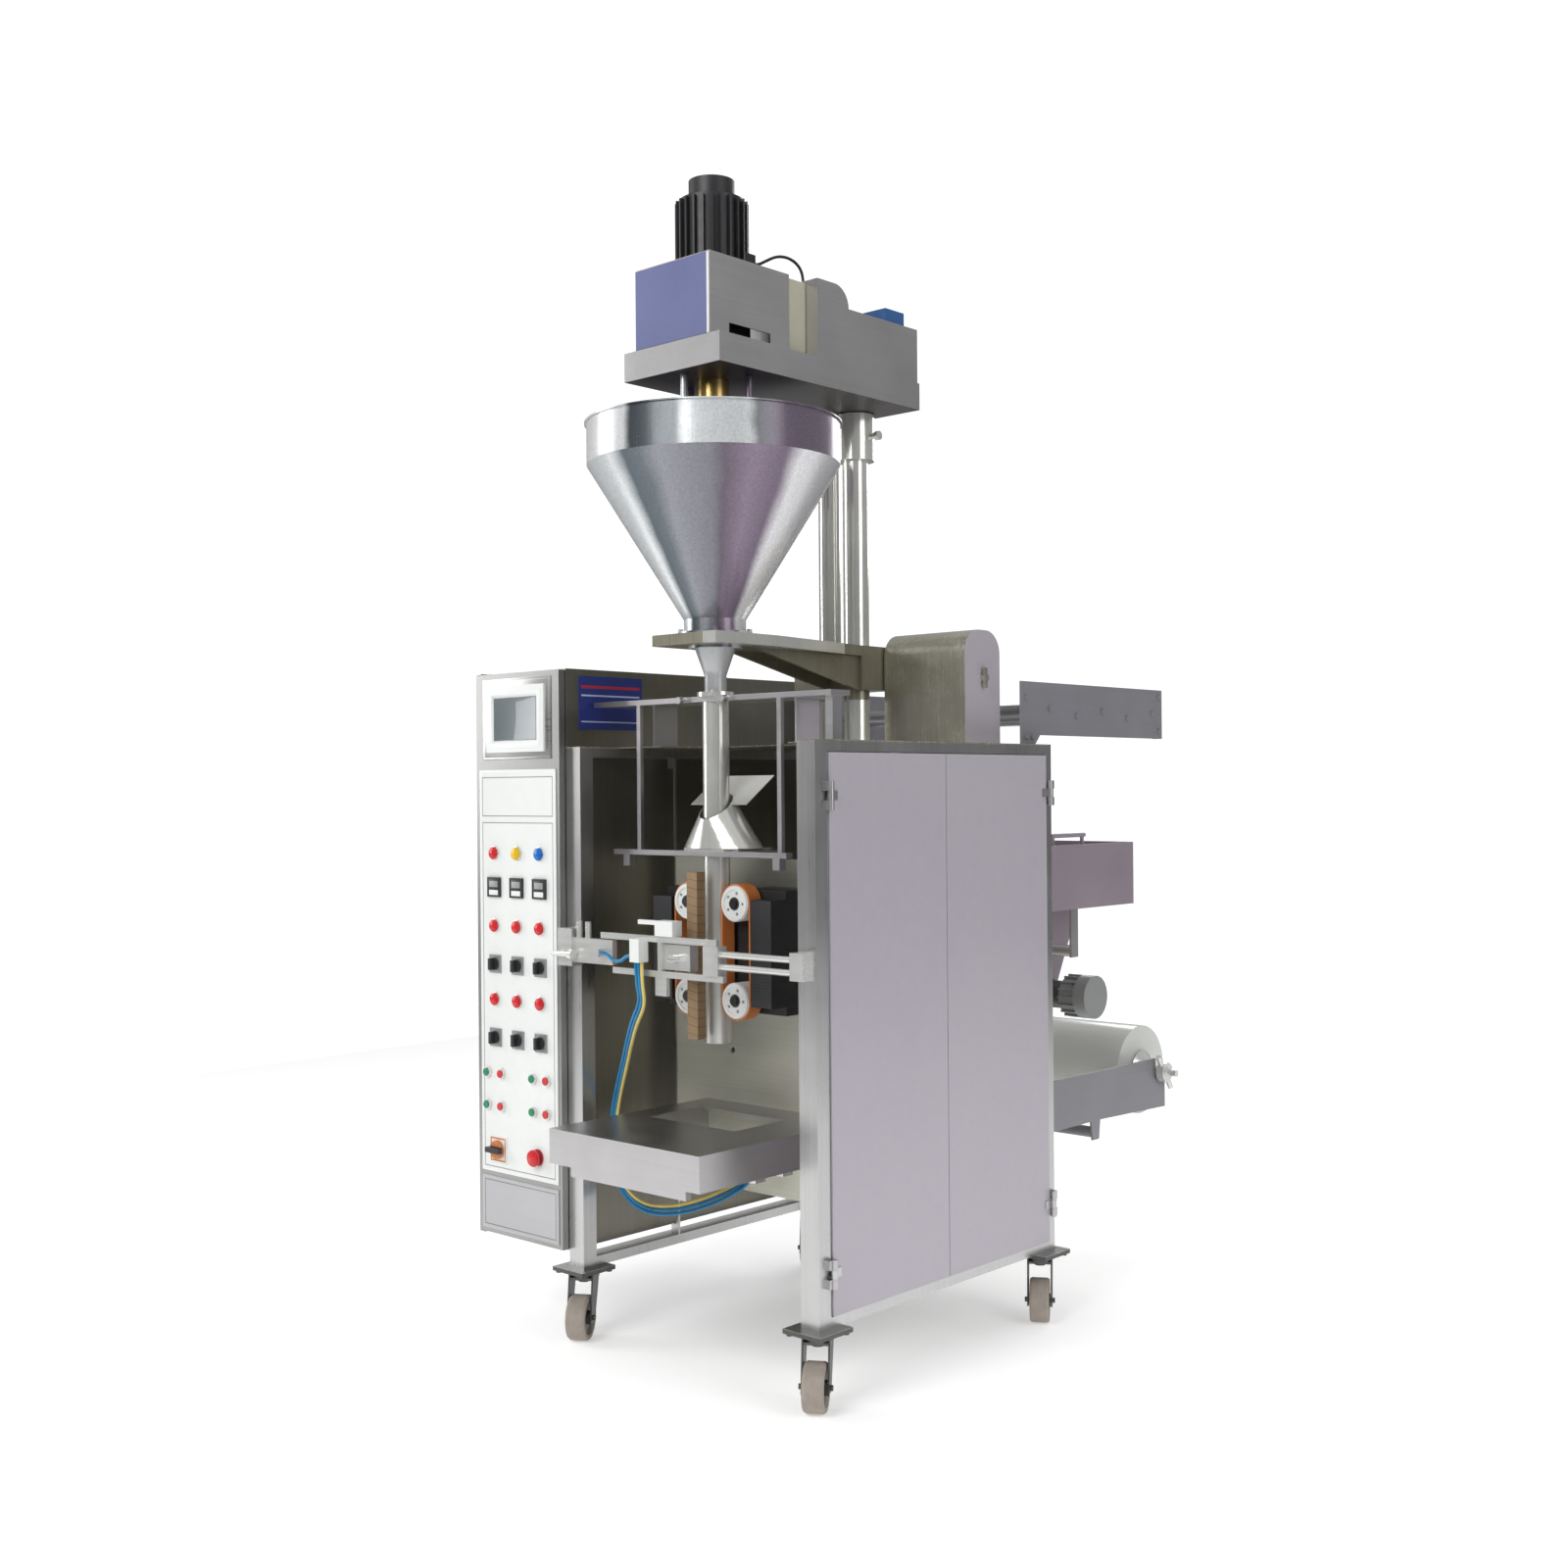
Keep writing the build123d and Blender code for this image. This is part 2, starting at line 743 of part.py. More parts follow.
def former_stays():
    """Upright bars from the top plate to the lower plate."""
    z0 = low_plate_z + low_plate_thick
    bars = []
    for side in (-1, 1):
        x0, x1 = sorted((side * (stay_x - stay_wide), side * stay_x))
        bars.append(block(x0, x1, tube_y - 32, tube_y - 22, z0, top_plate_z))
    return group(bars)


def former_low_plate():
    z0 = low_plate_z
    plate = block(-300, stay_x + 20, tube_y - 40, tube_y - 20, z0, z0 + low_plate_thick)
    plate += block(-110, 110, tube_y - 20, tube_y + 90, z0, z0 + low_plate_thick)
    plate -= rod("z", 0, tube_y, z0 - 1, tube_r + 3, low_plate_thick + 2)
    for x in (-252, stay_x - 6):
        plate += block(x - 10, x + 10, tube_y - 44, tube_y - 24, z0 - 26, z0)
    return plate


def former_tube():
    top = top_plate_z + top_plate_thick + 10
    return pipe("z", 0, tube_y, tube_bottom, tube_r, tube_r - tube_wall, top - tube_bottom)


def former_ring():
    """Ring shrunk on the tube, by which it hangs on the top plate."""
    return pipe("z", 0, tube_y, top_plate_z + top_plate_thick, tube_r + 12, tube_r, 10)


def former_collar():
    """Forming shoulder: flange, a skirt that rises to the back, and the wing the film comes over."""
    z0 = low_plate_z + low_plate_thick
    flange = block(-85, 85, tube_y - 20, tube_y + 88, z0, z0 + 6)
    flange += block(-60, 60, tube_y - 40, tube_y - 20, z0, z0 + 6)
    base = Pos(0, tube_y + 22, z0 + 6) * Ellipse(108, 66)
    low_ring = tube_r + 3
    ring_z = z0 + 6 + collar_high * 0.62
    ring = Pos(0, tube_y, ring_z) * Rot(35, 0, 0) * Ellipse(low_ring + 6, low_ring + 16)
    skirt = loft([base, ring])
    inner_base = Pos(0, tube_y + 22, z0 + 5.9) * Ellipse(106, 64)
    inner_ring = Pos(0, tube_y, ring_z + 0.4) * Rot(35, 0, 0) * Ellipse(low_ring + 4, low_ring + 14)
    skirt -= loft([inner_base, inner_ring])
    tilt = Pos(0, tube_y, ring_z) * Rot(35, 0, 0)
    wing = Pos(0, wing_deep / 2 + 8, 0) * Box(wing_wide, wing_deep, 2)
    wing -= Pos(0, 0, -2) * extrude(Ellipse(low_ring + 4, low_ring + 14), 4)
    whole = flange + skirt + tilt * wing
    return whole - rod("z", 0, tube_y, z0 - 1, tube_r + 3, 8)


def former_knobs():
    knobs = []
    for x in (-75, 62):
        y = tube_y - 32
        knobs.append(rod("y", x, y - 14, top_plate_z + 5, 8, 14))
    for x in (-70, 70):
        z0 = low_plate_z + low_plate_thick + 6
        knobs.append(hexagon("z", x, tube_y - 8, z0, 7, 6))
    return group(knobs)


# Belt drives ---------------------------------------------------------------


def belt_unit(side):
    """Gear housing with bushes on the guide rods and two pulley shafts."""
    def across(a, b):
        return sorted((side * a, side * b))
    back = tube_y + belt_wide / 2 + 6
    x0, x1 = across(40, unit_edge)
    unit = block(x0, x1, back, guide_y - 30, belt_low - 30, belt_high + 30)
    x0, x1 = across(belt_x + pulley_r + belt_thick + 6, unit_edge)
    unit += block(x0, x1, belt_front - 4, back, belt_low - 10, belt_high + 10)
    x0, x1 = across(70, 150)
    for z in guide_zs:
        unit += block(x0, x1, guide_y - 30, guide_y + 16, z - 18, z + 18)
        unit -= rod("x", min(x0, x1) - 40, guide_y, z, guide_r + run_fit, abs(x1 - x0) + 80)
    for z in (belt_low, belt_high):
        unit += rod("y", side * belt_x, belt_front - 6, z, belt_shaft_r, back - belt_front + 6)
        unit += rod("y", side * belt_x, belt_front - 10, z, belt_shaft_r + 4, 4)
    return unit


def pulley(side, z):
    """Flanged toothed pulley, its teeth shown as grooves in the front disc's rim."""
    x = side * belt_x
    wheel = rod("y", x, belt_front - 5, z, pulley_r - 2, 3)
    wheel += rod("y", x, belt_front - 2, z, pulley_r, belt_wide + 4)
    wheel -= pipe("y", x, belt_front - 6, z, pulley_r - 9, 14, 3)
    for k in range(5):
        a = radians(72 * k)
        wheel -= rod("y", x + 24 * cos(a), belt_front - 6, z + 24 * sin(a), 4, belt_wide + 12)
    return wheel - rod("y", x, belt_front - 7, z, belt_shaft_r + run_fit, belt_wide + 20)


def belt(side):
    x = side * belt_x
    mid = (belt_low + belt_high) / 2
    span = belt_high - belt_low
    inner_r = pulley_r + 0.35
    outline = SlotCenterToCenter(span, 2 * (inner_r + belt_thick - 0.35))
    inner = SlotCenterToCenter(span, 2 * inner_r)
    face = Plane.XZ * Rot(0, 0, 90) * (outline - inner)
    return Pos(x, belt_front + belt_wide, mid) * extrude(face, belt_wide)


def belt_guides():
    rails = []
    reach = unit_edge + belt_open + 40
    for z in guide_zs:
        bar = rod("x", -reach, guide_y, z, guide_r, 2 * reach)
        for side in (-1, 1):
            x0, x1 = sorted((side * reach, side * (reach + 20)))
            bar += block(x0, x1, guide_y - 14, wall_y, z - 14, z + 14)
        rails.append(bar)
    return group(rails)


# Upright sealer ------------------------------------------------------------


def seal_carrier():
    """Two flat rails, their end blocks and the bracket on the left post."""
    y0, y1 = seal_rail_y - 5, seal_rail_y + 5
    z_low = seal_rail_zs[1]
    z_high = seal_rail_zs[0]
    carrier = block(-240, 130, y0, y1, z_high - seal_rail_high / 2, z_high + seal_rail_high / 2)
    carrier += block(-200, 150, y0, y1, z_low - seal_rail_high / 2, z_low + seal_rail_high / 2)
    carrier += block(95, 140, y0 - 6, y1 + 12, z_low + 7, z_high - 7)
    carrier += block(-52, -40, y0, y1, z_low + 7, z_high - 7)
    carrier += block(-60, -24, y0, y1, z_low - 48, z_low - 7)
    carrier += block(-336, -200, y0, y1 + 4, z_low + 10, z_high - 10)
    carrier += block(-frame_half + 4, -336, y0 - 4, frame_front, z_low, z_high + 10)
    carrier += block(elbow_x - 14, elbow_x, y0 - 23, y0, 905, 925)
    return carrier


def seal_pins():
    """Upright pins and the adjusting screw on the left of the carrier."""
    pins = []
    z = seal_rail_zs[0] - 10
    for x in (-318, -288):
        pins.append(rod("z", x, seal_rail_y, z, 7, 38))
    screw = rod("x", -frame_half, seal_rail_y - 22, 905, 6, 60)
    screw += rod("x", -frame_half + 60, seal_rail_y - 22, 905, 11, 14)
    screw += block(-frame_half + 30, -frame_half + 44, seal_rail_y - 22, seal_rail_y - 9, 896, 914)
    pins.append(screw)
    return group(pins)


def seal_rods():
    """Two rods from the carrier to the right post."""
    y = seal_rail_y
    rods = [rod("x", 140, y, z, seal_rod_r, inner_half + 8 - 140) for z in (930, 903)]
    rods.append(block(inner_half + 8, frame_half - 6, y - 12, frame_front, 888, 946))
    return group(rods)


def seal_cylinder():
    """Air cylinder with its port block behind the rails."""
    body = block(-52, 40, seal_rail_y + 5, seal_rail_y + 30, seal_rail_zs[1] + 10, seal_rail_zs[0] - 10)
    return body - rod("y", 0, seal_rail_y + 5, (seal_rail_zs[0] + seal_rail_zs[1]) / 2, 8 + run_fit, 40)


def port_block():
    z = seal_rail_zs[0] - 8
    return block(port_left, port_left + 30, seal_rail_y - 34, seal_rail_y - 5, z - 44, z + 8)


def heat_block():
    z = seal_rail_zs[0] + seal_rail_high / 2
    body = block(-58, -2, seal_rail_y - 8, seal_rail_y + 22, z, z + 34)
    return body + block(-116, -58, seal_rail_y - 4, seal_rail_y + 4, z + 24, z + 34)


def seal_bar():
    """Taped heating bar that closes on the tube, on the cylinder's rod."""
    y1 = seal_face
    bar = block(-seal_bar_half, seal_bar_half, y1 - seal_bar_deep, y1, seal_bar_low, seal_bar_high)
    mid = (seal_rail_zs[0] + seal_rail_zs[1]) / 2
    y0 = seal_rail_y - 18
    return bar + rod("y", 0, y0, mid, 8, y1 - seal_bar_deep - y0)


# Pillars, arm, hopper ------------------------------------------------------


def pillars():
    solids = []
    for x, radius in ((0, pillar_r), (pillar2_x, pillar2_r)):
        solid = rod("z", x, pillar_y, deck_top + 10, radius, head_low - deck_top - 10)
        solid += rod("z", x, pillar_y, deck_top, radius + 10, 10)
        solids.append(solid)
    solids.append(rod("z", post3_x, pillar_y, deck_top, post3_r, clamp_low - deck_top))
    return group(solids)


def pillar_sleeve():
    z = head_low - 115
    sleeve = pipe("z", 0, pillar_y, z, 48, pillar_r, 112)
    sleeve += rod("x", 40, pillar_y, z + 55, 6, 32) + rod("x", 66, pillar_y, z + 55, 11, 12)
    return sleeve - rod("z", pillar2_x, pillar_y, z - 1, pillar2_r, 114)


def clamp_screws():
    y = pillar_y + 80
    return group([hexagon("y", 22, y, z, 9, 10) for z in (clamp_low + 24, arm_z - 24)])


def support_arm():
    """Plate that carries the hopper, its gusset and the split clamp on the pillars."""
    z0, z1 = arm_z, arm_z + arm_thick
    outline = make_face(Polyline((-100, tube_y - 100), (100, tube_y - 100), (100, tube_y + 100),
                                 (50, pillar_y - 45), (50, pillar_y + 80), (-170, pillar_y + 80),
                                 (-170, pillar_y - 45), (-100, tube_y + 100), close=True))
    arm = Pos(0, 0, z0) * extrude(outline, arm_thick)
    arm -= rod("z", 0, tube_y, z0 - 1, hopper_neck_r - 22, arm_thick + 2)
    arm += block(-170, 50, pillar_y - 40, pillar_y + 80, clamp_low, z0)
    for x in (-60, 30):
        web = side_plate(x, x + 8, [(tube_y + 90, z0), (pillar_y - 40, z0), (pillar_y - 40, clamp_low)])
        arm += web
    arm -= rod("z", 0, pillar_y, clamp_low - 1, pillar_r, z1 - clamp_low + 2)
    arm -= rod("z", pillar2_x, pillar_y, clamp_low - 1, pillar2_r, z1 - clamp_low + 2)
    return arm - block(-1.5, 1.5, pillar_y + pillar_r - 2, pillar_y + 81, clamp_low - 1, z1 + 1)


def hopper():
    w = hopper_wall
    z0 = arm_z + arm_thick
    profile = make_face(Polyline(
        (hopper_neck_r - w, z0), (hopper_neck_r + 14, z0), (hopper_neck_r + 14, z0 + 6),
        (hopper_neck_r, z0 + 6), (hopper_neck_r, hopper_neck_top), (hopper_r, hopper_cone_top),
        (hopper_r, hopper_top - 3),
        (hopper_r + 5, hopper_top - 3), (hopper_r + 5, hopper_top), (hopper_r - w, hopper_top),
        (hopper_r - w, hopper_cone_top + 1), (hopper_neck_r - w, hopper_neck_top + 1), close=True))
    return Pos(0, tube_y, 0) * revolve(Plane.XZ * profile, Axis.Z)


def hopper_clamps():
    """Toggle clamps and bolts on the hopper's flange."""
    z0 = arm_z + arm_thick + 6
    solids = []
    for k in range(4):
        a = radians(45 + 90 * k)
        x, y = 77.5 * cos(a), tube_y + 77.5 * sin(a)
        solids.append(hexagon("z", x, y, z0, 6, 8))
    return group(solids)


def auger_tube():
    """Funnel under the arm plate and the filling tube inside the forming tube."""
    z0 = arm_z
    r0 = auger_tube_r
    profile = make_face(Polyline(
        (r0 - 2, auger_tube_bottom), (r0, auger_tube_bottom), (r0, z0 - 65), (hopper_neck_r - 24, z0 - 5),
        (hopper_neck_r - 10, z0 - 5), (hopper_neck_r - 10, z0), (hopper_neck_r - 26, z0), (r0 - 2, z0 - 62),
        close=True))
    return Pos(0, tube_y, 0) * revolve(Plane.XZ * profile, Axis.Z)


def auger():
    """Screw with a helical flight over its whole filling length."""
    low = auger_tube_bottom + 8
    high = head_low + 74
    shaft = rod("z", 0, tube_y, low, auger_shaft_r, high - low)
    turns = 13
    path = Helix(auger_pitch, auger_pitch * turns, auger_shaft_r + 3)
    middle = (auger_shaft_r + auger_r) / 2 - 0.5
    section = Plane(origin=(middle, 0, 0), x_dir=(1, 0, 0), z_dir=(0, 1, 0)) * Rectangle(
        auger_r - auger_shaft_r + 1, 2.5)
    flight = sweep(section, path=path, is_frenet=True)
    return shaft + Pos(0, tube_y, low + 4) * flight


def agitator():
    """Stirring frame that turns about the auger's shaft."""
    r0 = auger_shaft_r + run_fit
    hub_low = bridge_z - 150
    hub = pipe("z", 0, tube_y, hub_low, 18, r0, head_low + 22 - hub_low)
    hub += pipe("z", 0, tube_y, head_low + 9, 45, r0, 9)
    slope_x0, slope_x1 = hopper_neck_r - 8, hopper_r - 45
    z0, z1 = hopper_neck_top + 22, hopper_cone_top - 30
    for side in (-1, 1):
        bar = make_face(Polyline(
            (side * slope_x0, z0), (side * slope_x1, z1), (side * slope_x1, z1 + 14),
            (side * 17, z1 + 14), (side * 17, z1), (side * (slope_x1 - 22), z1),
            (side * (slope_x0 - 10), z0 + 6), close=True))
        hub += Pos(0, tube_y + 4, 0) * extrude(Plane.XZ * bar, 8)
    return hub


def agitator_bridge():
    """Bearing bridge inside the hopper's rim, with the posts up to the head."""
    z0 = bridge_z
    reach = hopper_r - hopper_wall - 1
    bridge = rod("z", 0, tube_y, z0, 115, 8) + block(-reach, reach, tube_y - 25, tube_y + 25, z0, z0 + 8)
    bridge &= rod("z", 0, tube_y, z0 - 1, hopper_r - hopper_wall, 10)
    for x, y in ((-92, 20), (92, 20), (0, -92)):
        bridge += rod("z", x, tube_y + y, z0 + 8, 8, head_low - z0 - 8)
    return bridge - rod("z", 0, tube_y, z0 - 1, 18 + run_fit, 10)


def brass_bush():
    return pipe("z", 0, tube_y, head_low - 60, 36, 18 + run_fit, 60)


# Filler head ---------------------------------------------------------------


def head_tray():
    z0, z1 = head_low, head_low + head_tray_high
    tray = block(-head_half, head_half, head_front, head_back, z0, z1)
    tray -= block(-head_half + 3, head_half - 3, head_front + 3, head_back - 3, z0 + 4, z1 + 1)
    tray -= rod("z", 0, tube_y, z0 - 1, 18 + 0.5, 6)
    return tray


def head_box():
    """Gear housing over the auger, with the dark service slot in its side."""
    z0 = head_low + 4
    y0 = head_front + 5
    box = block(-box_half, box_half, y0, box_back, z0 + 40, box_top)
    box -= block(-box_half + 4, box_half - 4, y0 + 4, box_back + 1, z0 + 39, box_top - 4)
    slot_z = head_low + head_tray_high + 8
    box -= block(box_half - 5, box_half + 1, -388, -256, slot_z, slot_z + 26)
    box += block(-box_half, -box_half + 4, y0, box_back, z0, z0 + 40)
    box += block(box_half - 4, box_half, y0, box_back, z0, z0 + 40)
    return box - rod("z", 0, tube_y, box_top - 10, 30, 20)


def head_gearbox():
    """Reduction gear that hangs from the motor inside the box."""
    z0 = head_low + 54
    gear = block(-60, 60, tube_y - 60, tube_y + 60, z0, box_top - 60)
    gear += pipe("z", 0, tube_y, box_top - 60, 29, 12, 60)
    return gear - rod("z", 0, tube_y, z0 - 1, auger_shaft_r + run_fit, 24)


def head_gear_feet():
    z0 = head_low + 4
    return group([block(x, x + 12, tube_y - 60, tube_y + 60, z0, z0 + 50) for x in (-60, 48)])


def front_plate():
    return block(-box_half + 2, box_half - 2, head_front + 3, head_front + 5,
                 head_low + head_tray_high + 2, box_top - 3)


def head_spacer():
    x = box_half - 6
    z0 = head_low + 4
    return block(x - 30, x, box_back + 2, cover_front - 1, z0, box_top - 6)


def head_cover():
    z0 = head_low + head_tray_high
    x = head_half - 3
    cover = block(-x, x, cover_front, head_back - 4, head_low + 4, cover_top)
    hump_high = box_top - cover_top
    hump = Pos(0, cover_front + 60, cover_top) * Rot(0, 90, 0) * Cylinder(hump_high, 2 * x)
    cover += hump & block(-x, x, cover_front, head_back, z0, box_top + 1)
    cover += block(-x, x, cover_front, cover_front + 60, cover_top - 5, box_top)
    inner = block(-x + 3, x - 3, cover_front + 3, head_back - 7, head_low + 3, cover_top - 3)
    inner += Pos(0, cover_front + 60, cover_top) * Rot(0, 90, 0) * Cylinder(hump_high - 3, 2 * x - 6)
    inner += block(-x + 3, x - 3, cover_front + 3, cover_front + 60, cover_top - 4, box_top - 3)
    return cover - inner


def agitator_motor():
    """Gear motor under the rear cover."""
    z0 = head_low + 4
    motor = rod("z", 0, 20, z0, 60, 110) + block(-45, 45, 82, 190, z0, z0 + 90)
    return motor


def blue_box():
    return block(60, 142, 122, 193, cover_top, cover_top + 32)


def motor():
    """Finned motor with its fan cap."""
    body = rod("z", 0, tube_y, box_top + 8, motor_r - 7, motor_top - box_top - 8)
    body += block(-62, 62, tube_y - 62, tube_y + 62, box_top, box_top + 8)
    for k in range(24):
        fin = block(motor_r - 14, motor_r + 3, -2.5, 2.5, box_top + 14, motor_top - 6)
        body += Pos(0, tube_y, 0) * Rot(0, 0, 15 * k) * fin
    body += block(30, 74, tube_y + 20, cable_start_y(), box_top + 10, box_top + 38)
    body += rod("z", 0, tube_y, motor_top, cap_r - 8, 6)
    return body + rod("z", 0, tube_y, motor_top + 6, cap_r, head_top - motor_top - 6)


# Rear film deck ------------------------------------------------------------


def film_sides():
    """Upper side plates with bent rear flanges, feet on the deck, and a tie bar."""
    solids = []
    for side in (-1, 1):
        x0, x1 = sorted((side * (side_x - side_thick), side * side_x))
        outline = [(380, deck_top), (frame_back, deck_top), (frame_back + 22, upper_low),
                   (film_back, upper_low), (film_back, upper_high), (380, upper_high)]
        plate = side_plate(x0, x1, outline)
        a, b = sorted((side * (side_x - side_thick - 22), side * (side_x - side_thick)))
        plate += block(a, b, film_back - side_thick, film_back, upper_low, upper_high)
        solids.append(plate)
    whole = solids[0] + solids[1]
    z = upper_high - 20
    whole += rod("x", -side_x + side_thick, 620, z - 60, 8, 2 * (side_x - side_thick))
    whole += rod("x", -side_x + side_thick, 860, z - 60, 8, 2 * (side_x - side_thick))
    for y in turn_bar_ys:
        whole += rod("x", -side_x + side_thick, y, idler_z, turn_bar_r, 2 * (side_x - side_thick))
    return whole + rod("x", -side_x + side_thick, idler_y, idler_z, idler_pin_r, 2 * (side_x - side_thick))


def side_bolts():
    solids = []
    for side in (-1, 1):
        x = side_x if side > 0 else -side_x - 5
        for y, z in ((400, 1405), (425, 1405), (400, 1500), (film_back - 20, 1520), (film_back - 20, 1430),
                     (500, 1475), (740, 1475), (985, 1475), (620, 1460), (860, 1460)):
            solids.append(hexagon("x", x, y, z, 7, 5))
    return group(solids)


def idler():
    half = side_x - side_thick - 3
    return pipe("x", -half, idler_y, idler_z, idler_r, idler_pin_r + run_fit, 2 * half)


def web_box():
    """Open frame behind the machine that guides the film over the dancer."""
    solids = []
    for side in (-1, 1):
        x0, x1 = sorted((side * (box_x - side_thick), side * box_x))
        solids.append(block(x0, x1, frame_back, webbox_back, webbox_low, webbox_high))
    frame = solids[0] + solids[1]
    x0, x1 = -box_x + side_thick, box_x - side_thick
    frame += block(x0, x1, webbox_back - side_thick, webbox_back, webbox_low, webbox_high)
    frame += block(x0, x1, frame_back, frame_back + side_thick, webbox_low, webbox_high)
    for y in (dancer_y - 100, dancer_y + 130):
        frame += rod("x", x0, y, webbox_low + 60, 10, x1 - x0)
    frame += rod("x", x0, dancer_y, dancer_z, 8, x1 - x0)
    for y in (600, 735):
        frame += rod("z", box_x - side_thick / 2 - 12, y, webbox_high, 5, 20)
        frame += block(box_x - 26, box_x - side_thick, y - 6, y + 6, webbox_high - 20, webbox_high)
    return frame + rod("y", box_x - side_thick / 2 - 12, 590, webbox_high + 24, 6, 155)


def dancer():
    """Two hanging arms with their fixed bar."""
    x1 = box_x - side_thick - 14
    arms = []
    for side in (-1, 1):
        a, b = sorted((side * (x1 - 6), side * x1))
        arm = block(a, b, dancer_y - 16, dancer_y + 16, dancer_z - dancer_drop - 16, dancer_z + 18)
        arm -= rod("x", a - 1, dancer_y, dancer_z, 8 + run_fit, 8)
        arms.append(arm)
    whole = arms[0] + arms[1]
    return whole + rod("x", -x1 + 6, dancer_y, dancer_z - dancer_drop, dancer_r, 2 * x1 - 12)


def unwind_bracket():
    """Hangers under the open frame for the pull roller and its gear motor."""
    solids = []
    for x0, x1 in ((120, 130), (-box_x, -box_x + 10)):
        outline = [(webbox_back, webbox_low), (webbox_back - 120, webbox_low), (pull_y - 45, pull_z + 20),
                   (pull_y - 45, pull_z - 45), (pull_y + 45, pull_z - 45)]
        plate = side_plate(x0, x1, outline)
        hole = 12 + run_fit
        plate -= rod("x", x0 - 1, pull_y, pull_z, hole, x1 - x0 + 2)
        solids.append(plate)
    return group(solids)


def gear_motor():
    """Motor for the pull roller: gear head, finned body and rounded end cap."""
    motor_body = pipe("x", 130, pull_y, pull_z, 42, 13, 28)
    motor_body += rod("x", 158, pull_y, pull_z, 36, 60)
    motor_body += rod("x", 218, pull_y, pull_z, gearmotor_r - 6, 50)
    for k in range(16):
        fin = block(218, 264, -2, 2, gearmotor_r - 8, gearmotor_r)
        motor_body += Pos(0, pull_y, pull_z) * Rot(22.5 * k, 0, 0) * fin
    motor_body += rod("x", 264, pull_y, pull_z, gearmotor_r, 36)
    return motor_body


def pull_roller():
    x0 = -box_x + 14
    roller = rod("x", x0, pull_y, pull_z, pull_r, 116 - x0)
    roller += rod("x", -box_x - 4, pull_y, pull_z, 12, x0 + box_x + 4)
    return roller + rod("x", 116, pull_y, pull_z, 12, 36)


def roll_arms():
    """Lower side plates with the open bearings of the film spindle."""
    solids = []
    for side in (-1, 1):
        x0, x1 = sorted((side * (side_x - side_thick), side * side_x))
        outline = [(frame_back, arm_high_z), (film_back - 31, arm_high_z), (film_back, arm_high_z - 31),
                   (film_back, arm_low_z - 6), (718, arm_low_z + 4), (frame_back, arm_low_z + 4)]
        plate = side_plate(x0, x1, outline)
        plate += side_plate(x0, x1, [(676, arm_low_z + 4), (718, arm_low_z + 4), (712, 384), (682, 384)])
        plate -= rod("x", x0 - 1, roll_y, roll_z, spindle_r + run_fit, side_thick + 2)
        half = spindle_r + run_fit
        plate -= block(x0 - 1, x1 + 1, roll_y - half, roll_y + half, roll_z, arm_high_z + 1)
        solids.append(plate)
    whole = solids[0] + solids[1]
    whole += rod("x", -side_x + side_thick, 697, 402, 14, 2 * (side_x - side_thick))
    return whole + rod("x", -side_x + side_thick, 560, 470, 10, 2 * (side_x - side_thick))


def film_roll():
    return pipe("x", -roll_half, roll_y, roll_z, roll_r, core_r, 2 * roll_half)


def roll_core():
    return pipe("x", -roll_half - 4, roll_y, roll_z, core_r, core_r - 6, 2 * roll_half + 8)


def spindle():
    """Film shaft with a cone and a hand nut at each end."""
    shaft = rod("x", -spindle_end + 30, roll_y, roll_z, spindle_r, 2 * spindle_end - 55)
    inner = core_r - 6
    for side in (-1, 1):
        turn = Rot(0, 90 * side, 0)
        x = side * (roll_half + 4)
        plug = Pos(x - side * 16, roll_y, roll_z) * turn * Cylinder(
            inner, 16, align=(Align.CENTER, Align.CENTER, Align.MIN))
        cone = Pos(x, roll_y, roll_z) * turn * Cone(
            core_r + 8, 24, 26, align=(Align.CENTER, Align.CENTER, Align.MIN))
        shaft += plug + cone
        nut_x = side * (side_x + 8)
        nut = Pos(nut_x, roll_y, roll_z) * turn * Cylinder(
            26, 20, align=(Align.CENTER, Align.CENTER, Align.MIN))
        shaft += nut
    for turn in (35, 215):
        grip = Pos(side_x + 18, roll_y, roll_z) * Rot(turn, 0, 0) * Pos(0, 0, 20) * Cylinder(
            7, 34, align=(Align.CENTER, Align.CENTER, Align.MIN))
        shaft += grip
    return shaft + rod("x", spindle_end - 25, roll_y, roll_z, 9, 25)


# Hood ----------------------------------------------------------------------


def hood():
    body = block(hood_left, hood_right, hood_front, hood_back, deck_top, hood_top)
    body = fillet(body.edges().filter_by(Axis.X).group_by(Axis.Z)[-1], hood_round)
    inner = block(hood_left + sheet, hood_right - sheet, hood_front + sheet, hood_back - sheet,
                  deck_top - 1, hood_top - sheet)
    inner = fillet(inner.edges().filter_by(Axis.X).group_by(Axis.Z)[-1], hood_round - sheet)
    hole = rod("x", hood_right - 6, (hood_front + hood_back) / 2, 1545, 5 + run_fit, 12)
    return body - inner - hole


def wing_screw():
    y, z = (hood_front + hood_back) / 2, 1545
    x = hood_right + body_gap
    screw = rod("x", hood_right - 14, y, z, 5, 20) + rod("x", x, y, z, 9, 12)
    return screw + block(x + 4, x + 10, y - 6, y + 6, z - 24, z + 24)


# Air lines -----------------------------------------------------------------


def corner_radii(points):
    """Arc radius at every corner: 0.45 of its shorter run over the tangent of half its turn."""
    radii = []
    for before, here, after in zip(points, points[1:], points[2:]):
        a, b = Vector(*here) - Vector(*before), Vector(*after) - Vector(*here)
        turn = a.get_angle(b)
        radii.append(0.45 * min(a.length, b.length) / tan(radians(turn) / 2))
    return radii


